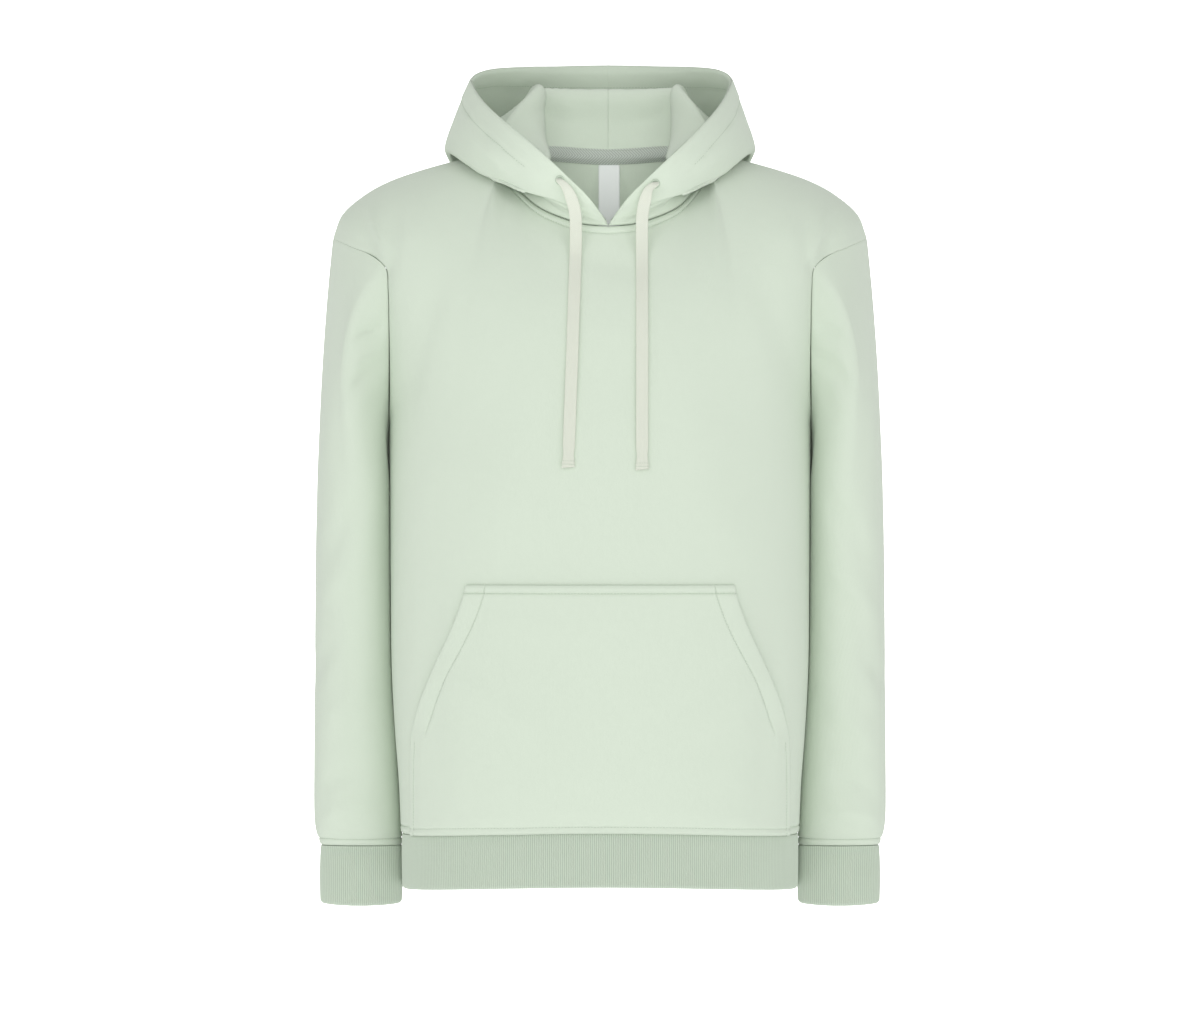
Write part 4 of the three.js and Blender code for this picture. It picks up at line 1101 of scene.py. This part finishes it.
# Hood: two halves of the body cloth with a middle seam, sewn round the neck and
# laid back. Its front edge is turned in and stitched down as the cord's channel.
HOOD = [
    # One row a station round the neck seam, front to back. Its points are the cloth's way
    # from the seam to the rim: seam, bulge, crest, drop, fold, swell, rim. Then come the
    # share that it takes in the roll, and the roll's radius.
    [(0, -98, -81), None, None, None, (-1.5, -99.3, -78.8), (-2.2, -100.5, -77.2),
     (-2.6, -101.6, -75.6), 0, 0],
    [(-24, -96, -79), None, None, None, (-27, -103, -71), (-24, -107.5, -63.5),
     (-18, -109, -55), 0, 0],
    [(-46, -88, -72), (-47, -89, -66), (-50, -90, -59), (-53, -95, -58), (-54, -101, -62),
     (-52, -104, -50), (-37, -108, -36), 0.5, 2],
    [(-66, -75, -62), (-64, -78, -52), (-75, -75, -42), (-80, -80, -44), (-80, -90, -51),
     (-77, -97, -32), (-62, -99, -12), 0.95, 2.2],
    [(-81, -59, -48), (-62, -72, -28), (-93, -55, -20), (-99, -62, -29), (-107, -72, -37),
     (-108, -78, -8), (-92, -70, 17), 1, 3],
    [(-92, -41, -34), (-57, -35, -12), (-101, -28, -2), (-114, -38, -13), (-128, -48, -20),
     (-129, -48, 12), (-112, -38, 39), 1, 4],
    [(-97, -22, -18), (-59, -6, -4), (-98, 2, 20), (-119, -6, 3), (-142, -18, -8),
     (-140, -12, 26), (-124, 0, 59), 1, 4],
    [(-97, 0, -6), (-62, 22, 8), (-84, 26, 43), (-116, 22, 18), (-146, 14, -7),
     (-140, 18, 36), (-126, 30, 72), 1, 5],
    [(-90, 22, -3), (-66, 45, 25), (-68, 50, 63.5), (-100, 56, 26), (-142, 50, -16),
     (-137, 58, 36), (-111, 62, 82), 1, 5],
    [(-74, 43, -2), (-71, 58, 30), (-72, 70, 63.5), (-96, 82, 12), (-126, 86, -52),
     (-120, 98, 22), (-81, 92, 87), 1, 6],
    [(-50, 60, -2), (-50, 70, 30), (-50, 80, 63), (-70, 99, -8), (-91, 117, -103),
     (-88, 132, -8), (-50, 110, 89), 1, 7],
    [(-26, 69, -3), (-26, 76, 30), (-26, 83, 62.5), (-36, 104, -24), (-47, 130, -127),
     (-46, 148, -18), (-25, 119, 90.5), 1, 7],
    [(0, 72, -4), (0, 77, 30), (0, 84, 62.5), (0, 105, -34), (0, 135, -137),
     (0, 153, -24), (0, 122, 91), 1, 7],
]
HOOD_STEPS = [3, 3, 2, 2, 2, 2, 2, 2, 3, 3]
HOOD_FINE = 4
STATION_STEPS = 7
HOOD_EASING = 36
HOOD_THICK = 1.8
CHANNEL = 22.0
# Length of cloth from neck seam to rim over which the channel's relief sets in.
CHANNEL_FROM = (80, 125)


def curve_through(controls, steps):
    """Curve through uneven points, with tangents weighed by the roots of the spans."""
    p = np.array(controls, float)
    last = len(p) - 1
    line = []
    for i in range(last):
        edge = p[i + 1] - p[i]
        span = math.sqrt(np.linalg.norm(edge))
        start = end = edge
        if i > 0:
            before = math.sqrt(max(1e-6, np.linalg.norm(p[i] - p[i - 1])))
            start = ((p[i] - p[i - 1]) / before - (p[i + 1] - p[i - 1]) / (before + span)
                     + edge / span) * span
        if i < last - 1:
            after = math.sqrt(max(1e-6, np.linalg.norm(p[i + 2] - p[i + 1])))
            end = (edge / span - (p[i + 2] - p[i]) / (span + after)
                   + (p[i + 2] - p[i + 1]) / after) * span
        for k in range(steps[i]):
            t = k / steps[i]
            t2, t3 = t * t, t * t * t
            line.append((2 * t3 - 3 * t2 + 1) * p[i] + (t3 - 2 * t2 + t) * start
                        + (3 * t2 - 2 * t3) * p[i + 1] + (t3 - t2) * end)
    line.append(p[last])
    return np.array(line)


def hood_profile(row):
    seam, bulge, crest, drop, fold, swell, rim = (
        None if p is None else np.array(p, float) for p in row[:7])
    folded, roll = row[7], row[8]
    count = sum(HOOD_STEPS) * HOOD_FINE
    plain = curve_through([seam, fold, swell, rim], [40, 40, 40])
    plain = along(plain, np.linspace(0, length(plain), count + 1))
    if folded == 0:
        return plain
    over, under = drop - bulge, swell - drop
    over[2] = under[2] = 0
    over *= roll / np.linalg.norm(over)
    under *= roll / np.linalg.norm(under)
    up = np.array([0, 0, roll])
    rolled = curve_through([seam, bulge, crest - over - up, crest, crest + over - up, drop,
                            fold - under + up, fold, fold + under + up, swell, rim],
                           [n * HOOD_FINE for n in HOOD_STEPS])
    return plain + (rolled - plain) * folded


def hood_base():
    stations = np.array([hood_profile(row) for row in HOOD])
    reads = np.linspace(0, len(HOOD) - 1, (len(HOOD) - 1) * STATION_STEPS + 1)
    grid = spline(stations, reads).transpose(1, 0, 2)
    ease = smooth(0, 9, run_from(grid)) * smooth(0, 12, run_from(grid, end=True))
    ease = (ease * (1 - smooth(3.6, 4.6, reads))[None, :])[:, 1:-1, None]
    for _ in range(HOOD_EASING):
        even = (grid[:, :-2] + grid[:, 1:-1] + grid[:, 2:]) / 3
        grid[:, 1:-1] += (even - grid[:, 1:-1]) * ease
    return grid


HOOD_FOLDS = [
    # from x, z to x, z, width, height, on the outer layer and the roll alike
    [-74, -40, -100, -16, 7, -0.8],
    [-92, -30, -126, 6, 8, 1.2],
    [-118, -10, -112, 40, 9, -1.0],
    [-30, 30, -66, 44, 9, 1.2],
    [-20, 10, -58, -6, 8, -1.0],
    [-96, 70, -60, 84, 8, -1.0],
    [-84, -70, -30, -110, 14, 2.0],
    [-110, -30, -60, -90, 14, -2.0],
]
HOOD_ENDS = [0.6, 1.4, 2.4, 4.0, 19.0, 20.6, 21.4, 22.0, 22.6, 23.4, 25.0]
hoods = {}


def hood_runs(grid):
    """Lengths of cloth from the rim, from the neck seam and from the middle seam."""
    return run_from(grid, end=True), run_from(grid), run_from(grid, columns=True, end=True)


def hood_piece(side):
    mirror = 1 if side == "right" else -1
    flip = side == "right"
    grid = closer(hood_base(), [0.7, 1.5, 2.6])
    grid = settle(grid * np.array([mirror, 1, 1]))
    grid = closer(grid, HOOD_ENDS, end=True)
    grid = closer(grid, SEAM_COLUMNS, columns=True, end=True)
    normals = normals_of(grid, flip)
    plane = grid.copy()
    plane[..., 0] = -np.abs(plane[..., 0] - NECK_SHIFT * 0.5)
    push = fold_heights(plane, HOOD_FOLDS) * (1.0 if side == "right" else 0.75)
    rim_run, seam_run, middle_run = hood_runs(grid)
    fade = smooth(0, 12, rim_run) * smooth(0, 10, seam_run) * smooth(0, 14, middle_run)
    grid = grid + normals * (push * fade)[..., None]
    normals = normals_of(grid, flip)
    rim_run, seam_run, middle_run = hood_runs(grid)
    room = smooth(*CHANNEL_FROM, seam_run[-1])[None, :]
    channel = 1 - smooth(CHANNEL - 1.6, CHANNEL - 0.1, rim_run)
    relief = (seam_dip(seam_run, 0.7) + seam_dip(middle_run) + seam_dip(middle_run, 0.7, 0.8)
              + (0.9 * channel - 1.2 * bell(rim_run, CHANNEL, 0.7)) * room
              + seam_dip(rim_run, 1.0, 1.3))
    thick = HOOD_THICK + 1.4 * channel * room + seam_dip(rim_run, 1.1, 1.3)
    thing = shell("cloth_hood_" + side, grid, normals, thick.clip(0.5), relief, jersey, flip=flip)
    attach(thing, "root")
    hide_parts("hood_" + side)
    stitched_part = slice(int(np.argmax(room[0] > 0.5)), None)
    cloth = (grid, normals, relief)
    inside = (grid, -normals, thick)
    lines = [line_on(cloth, rim_run, CHANNEL, stitched_part),
             line_on(inside, rim_run, CHANNEL, stitched_part)]
    stitches = sewn("stitches_hood_" + side, lines, "hood_" + side)
    hoods[side] = (cloth, thick, seam_run, rim_run)


hood_piece("right")
hood_piece("left")


# Neck tape: cotton herringbone tape, 15 mm wide, sewn flat over the back neck seam
# inside, from one shoulder round to the other, with a row of stitches on each edge.
TAPE_START = 9
TAPE_UP = [7.4, 5.6, 3.8, 1.9]
TAPE_DOWN = [0.4, 2.1, 3.8, 5.3, 6.8]
TAPE_GAP = 0.5
TAPE_THICK = 0.9
TAPE_STEPS = 140
TAPE_STITCH = 1.8
TAPE = (224, 233, 223)


def tape_look():
    """Herringbone: twill lines that lean out to both edges from the tape's middle."""
    look = Look("tape", 0.85, 0.1)
    u, v = look.cloth_axes()
    from_middle = (v + 0.0075).math("ABSOLUTE")
    twill = ((u + from_middle) * (2 * math.pi / 0.0029)).math("SINE")
    nap = look.noise(1200.0, 2.0, 0.6)
    look.bump(twill * 0.0005 + nap * 0.0001, 1.0, 1.0)
    look.colour(twill * 0.42 + nap * 0.2 + 0.4, srgb(*TAPE, 0.72), srgb(*TAPE, 1.08))
    return look.material


def inside_line(side, at):
    (grid, normals, _), thick, seam_run, _ = hoods[side]
    inner = (grid, normals, -(thick + TAPE_GAP + TAPE_THICK))
    return line_on(inner, seam_run, at, slice(TAPE_START * STATION_STEPS, None))[0]


def evenly(line, count):
    return along(line, np.linspace(0, length(line), count))


tape_rows = []
for at in TAPE_UP:
    both = np.concatenate([inside_line("right", at), inside_line("left", at)[::-1]])
    tape_rows.append(evenly(both, TAPE_STEPS))
tape_share = (len(NECK) - 1 - TAPE_START) / (len(NECK) - 1 - NECK_SIDE)
under_tape = neck_part(back_grid, int(round(BACK_COUNTS[0] * tape_share)))
below = (back_grid, back_normals, -(back_thick + TAPE_GAP + TAPE_THICK))
for at in TAPE_DOWN:
    line = line_on(below, back_top, at, under_tape)[0]
    tape_rows.append(evenly(line, TAPE_STEPS))
tape_grid = spline(np.array(tape_rows), np.linspace(0, len(tape_rows) - 1, 33))
for _ in range(4):
    tape_grid[1:-1] = (tape_grid[:-2] + tape_grid[1:-1] + tape_grid[2:]) / 3
    tape_grid[:, 1:-1] = (tape_grid[:, :-2] + tape_grid[:, 1:-1] + tape_grid[:, 2:]) / 3
tape_normals = normals_of(tape_grid, True)
tape_up, tape_foot = run_from(tape_grid), run_from(tape_grid, end=True)
tape_edge = np.minimum(tape_up, tape_foot)
tape_relief = seam_dip(tape_edge, 0.4, 0.7) - 0.35 * bell(tape_edge, TAPE_STITCH, 0.5)
neck_tape = shell("neck_tape_cloth", tape_grid, tape_normals,
                  np.full(tape_relief.shape, TAPE_THICK), tape_relief, tape_look(), flip=True)
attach(neck_tape, "root")
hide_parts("neck_tape")
tape_cloth = (tape_grid, tape_normals, tape_relief)
tape_stitches = sewn("stitches_tape", [
    line_on(tape_cloth, tape_up, TAPE_STITCH),
    line_on(tape_cloth, tape_foot, TAPE_STITCH),
], "neck_tape", pitch=2.8, long=2.0, wide=0.5)


# Neck label: a soft, bare white satin tab, caught under the tape's lower edge and
# hanging straight down.
LABEL_WIDTH = 21.0
LABEL_LENGTH = 68.0
LABEL_THICK = 0.7
LABEL_ASIDE = 1
LABEL_TUCKED = 2.5
LABEL = (246, 250, 248)


def label_look():
    look = Look("label", 0.45, 0.0)
    u, v = look.cloth_axes()
    weave = (u * (2 * math.pi / 0.0006)).math("SINE") * (v * (2 * math.pi / 0.0005)).math("SINE")
    cloud = look.noise(60.0, 2.0, 0.5)
    look.bump(weave * 0.00002 + cloud * 0.0006, 1.0, 1.0)
    look.colour(cloud, srgb(*LABEL, 0.97), srgb(*LABEL, 1.0))
    return look.material


label_top = tape_grid[-1, TAPE_STEPS // 2]
label_across = np.linspace(-0.5, 0.5, 15)
label_rows = []
for part in np.linspace(0, 1, 40):
    curl = 1.1 * part ** 2 * (2 * label_across) ** 2 + 0.5 * math.sin(5 * part)
    label_rows.append(np.stack([
        label_top[0] + LABEL_ASIDE + label_across * LABEL_WIDTH,
        label_top[1] + 1.4 - 2.6 * part - curl,
        np.full(label_across.shape, label_top[2] + LABEL_TUCKED - part * LABEL_LENGTH),
    ], axis=1))
label_grid = np.array(label_rows)
label_normals = normals_of(label_grid, True)
label_edge = np.minimum(run_from(label_grid, columns=True),
                        run_from(label_grid, columns=True, end=True))
label_foot = run_from(label_grid, end=True)
label_relief = seam_dip(label_edge, 0.25, 0.6) + seam_dip(label_foot, 0.25, 0.6)
neck_label = shell("neck_label_cloth", label_grid, label_normals,
                   np.full(label_relief.shape, LABEL_THICK), label_relief, label_look(), flip=True)
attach(neck_label, "root")
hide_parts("neck_label")


# Eyelets: round holes in the channel, one at each side of the neck, whipped over with
# thread of the cloth's colour, drawn with the thread material, which is painted a little darker as
# painted shade.
EYELETS = {
    # station round the neck, distance from the rim
    "right": (2.12, 8.0),
    "left": (2.0, 9.5),
}
EYELET_HOLE = 2.3
EYELET_RING = 1.15
EYELET_THREADS = 30
EYELET_TURNS = 240
EYELET_ROUND = 14


def hood_place(side, station, from_rim):
    cloth, _, _, rim_run = hoods[side]
    points, ups = line_on(cloth, rim_run, from_rim)
    at = station * STATION_STEPS
    low = int(at)
    place = points[low] + (points[low + 1] - points[low]) * (at - low)
    return place, ups[low] / np.linalg.norm(ups[low])


def eyelet_piece(side):
    place, normal = hood_place(side, *EYELETS[side])
    sideways = np.cross([0, 0, 1], normal)
    sideways /= np.linalg.norm(sideways)
    upward = np.cross(normal, sideways)
    turn = np.linspace(0, 2 * math.pi, EYELET_TURNS, endpoint=False)
    ridge = 0.09 * np.abs(np.sin(turn * EYELET_THREADS / 2)) ** 0.6
    rings = []
    tube = EYELET_RING * (1 + ridge)
    for angle in np.linspace(0, 2 * math.pi, EYELET_ROUND, endpoint=False):
        radius = EYELET_HOLE + EYELET_RING + tube * math.cos(angle)
        height = 0.55 + 0.62 * tube * math.sin(angle)
        rings.append(place + normal * height[:, None]
                     + sideways * (radius * np.cos(turn))[:, None]
                     + upward * (radius * np.sin(turn))[:, None])
    points = np.array(rings)
    faces = []
    for i in range(EYELET_ROUND):
        k = (i + 1) % EYELET_ROUND
        for j in range(EYELET_TURNS):
            m = (j + 1) % EYELET_TURNS
            faces.append((i * EYELET_TURNS + j, i * EYELET_TURNS + m,
                          k * EYELET_TURNS + m, k * EYELET_TURNS + j))
    mesh = bpy.data.meshes.new("eyelet_thread_" + side)
    mesh.from_pydata((points.reshape(-1, 3) * MM).tolist(), [], faces)
    mesh.polygons.foreach_set("use_smooth", [True] * len(mesh.polygons))
    mesh.materials.append(thread)
    thing = bpy.data.objects.new("eyelet_thread_" + side, mesh)
    scene.collection.objects.link(thing)
    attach(thing, "root")
    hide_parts("eyelet_" + side)
    return place, normal


# Drawcord: one flat tubular braid of off-white cotton that runs through the channel.
# Its two free ends hang out of the eyelets, each stitched across near its tip.
CORD_WIDTH = 11.6
CORD_THICK = 2.4
# Inside the eyelet the cord is squeezed, and it spreads over this length below.
SQUEEZED_WIDTH, SQUEEZED_THICK = 5.5, 3.2
CORD_SPREADS = 26
CORD_GAP = 0.8
CORD_SAG = 1.3
CORD_ON_CHEST, CORD_LANDED = -84, 5
CORD = (227, 232, 217)
CORD_DROPS = {
    # x, z down from the eyelet to the tip
    "right": [[-33, -44], [-27, -56], [-23.5, -70], [-22.8, -86], [-23, -106], [-23.5, -122],
              [-24, -138], [-24.6, -156], [-25.3, -175], [-26, -200], [-27.5, -240], [-30, -311]],
    "left": [[47, -46], [43, -57], [40.4, -70], [39.8, -86], [39.8, -106], [39.8, -122],
             [39.8, -138], [39.8, -156], [39.8, -175], [39.8, -200], [39.8, -240], [39.8, -313]],
}
CORD_SHAPE = 20
CORD_POINTS = 180
TACK = 10.0
TACK_LINES = (2.4, TACK * 0.62)


def cord_look():
    """Flat braid: fine lengthwise ribs of plaited cotton, with painted shade a little darker between
    the ribs and the plaits.
    """
    look = Look("cord", 0.85, 0.15)
    u, v = look.cloth_axes()
    ribs = (u * (2 * math.pi / 0.0011)).math("SINE")
    slant = u.math("ABSOLUTE") * 0.8 + v
    plait = (slant * (2 * math.pi / 0.0019)).math("SINE")
    nap = look.noise(1300.0, 2.0, 0.6)
    look.bump(ribs * 0.00008 + plait * 0.0001 + nap * 0.0001, 1.0, 1.0)
    # Ribs and plait set painted shade in the troughs between them; the nap is mottling.
    look.colour(ribs * 0.12 + plait * 0.12 + nap * 0.3 + 0.35, srgb(*CORD, 0.9), srgb(*CORD, 1.04))
    return look.material


cord_material = cord_look()


def cord_way(side, place, normal):
    """Middle line of a free end: out of the eyelet, then down on the chest."""
    start = place + normal * 1.6
    controls = [start, start + normal * 2.4]
    for n, (x, z) in enumerate(CORD_DROPS[side]):
        free = start[1] - 4.6 - n * CORD_SAG
        y = free
        if z < CORD_ON_CHEST:
            chest = front_face(x, z)[0][1] - CORD_THICK / 2 - CORD_GAP
            y = min(chest, free) if n < CORD_LANDED else chest
        controls.append([x, y, z])
    return evenly(curve_through(controls, [10] * (len(controls) - 1)), CORD_POINTS)


def cord_piece(side):
    place, normal = eyelet_piece(side)
    line = cord_way(side, place, normal)
    run = np.linspace(0, length(line), len(line))
    total = run[-1]
    tangent = np.gradient(line, axis=0)
    tangent /= np.linalg.norm(tangent, axis=1, keepdims=True)
    across = np.array([1.0, 0, 0]) - tangent * tangent[:, :1]
    across /= np.linalg.norm(across, axis=1, keepdims=True)
    outward = np.cross(across, tangent)
    twist = 0.10 * np.sin(run / 38 + (0.6 if side == "right" else 2.0)) * smooth(20, 60, run)
    across = across * np.cos(twist)[:, None] + outward * np.sin(twist)[:, None]
    outward = np.cross(across, tangent)
    from_tip = total - run
    grown = smooth(0, CORD_SPREADS, run)
    neat = 1 - 0.13 * bell(from_tip, TACK + 3, 5) + 0.10 * (1 - smooth(0, TACK, from_tip))
    width = (SQUEEZED_WIDTH + (CORD_WIDTH - SQUEEZED_WIDTH) * grown) * neat
    thick = SQUEEZED_THICK + (CORD_THICK - SQUEEZED_THICK) * grown
    thick = thick * (1 - 0.3 * bell(from_tip, TACK_LINES[1], 1.2)
                     - 0.3 * bell(from_tip, TACK_LINES[0], 1.0)
                     + 0.25 * bell(from_tip, TACK * 0.4, 2.0))
    angle = np.linspace(0, 2 * math.pi, CORD_SHAPE, endpoint=False)
    c, s = np.cos(angle), np.sin(angle)
    flat_u = np.sign(c) * np.abs(c) ** 0.55 * 0.5
    flat_v = np.sign(s) * np.abs(s) ** 0.62 * 0.5
    slope = np.array([0.0, 0.0, 0.7]) * (1 - smooth(0, TACK, from_tip))[:, None]
    rings = (line[:, None] + across[:, None] * (width[:, None] * flat_u)[..., None]
             + outward[:, None] * (thick[:, None] * flat_v)[..., None]
             + slope[:, None] * flat_u[None, :, None] * 2)
    count = len(rings)
    faces = [(i * CORD_SHAPE + k, i * CORD_SHAPE + (k + 1) % CORD_SHAPE,
              (i + 1) * CORD_SHAPE + (k + 1) % CORD_SHAPE, (i + 1) * CORD_SHAPE + k)
             for i in range(count - 1) for k in range(CORD_SHAPE)]
    faces.append(tuple(range(CORD_SHAPE))[::-1])
    faces.append(tuple((count - 1) * CORD_SHAPE + k for k in range(CORD_SHAPE)))
    mesh = bpy.data.meshes.new("cord_" + side)
    mesh.from_pydata((rings.reshape(-1, 3) * MM).tolist(), [], faces)
    layer = mesh.uv_layers.new(name="cloth")
    uv = np.stack([np.tile(CORD_WIDTH * flat_u, count), np.repeat(run, CORD_SHAPE)], axis=1) * MM
    loops = np.array([v for face in faces for v in face])
    layer.data.foreach_set("uv", uv[loops].astype(np.float32).ravel())
    mesh.polygons.foreach_set("use_smooth", [len(face) == 4 for face in faces])
    mesh.materials.append(cord_material)
    mesh.update()
    thing = bpy.data.objects.new("cord_" + side, mesh)
    scene.collection.objects.link(thing)
    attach(thing, "root")
    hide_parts("drawcord_" + side)
    tacks = []
    for at in TACK_LINES:
        k = int(np.argmin(np.abs(from_tip - at)))
        ends = [line[k] + across[k] * width[k] * q - outward[k] * thick[k] * 0.5
                for q in np.linspace(-0.42, 0.42, 9)]
        tacks.append((np.array(ends), np.tile(-outward[k], (9, 1))))
    stitches = sewn("stitches_cord_" + side, tacks, "drawcord_" + side,
                    pitch=2.0, long=1.6, wide=0.5)
    tuple(place * MM)


cord_piece("right")
cord_piece("left")
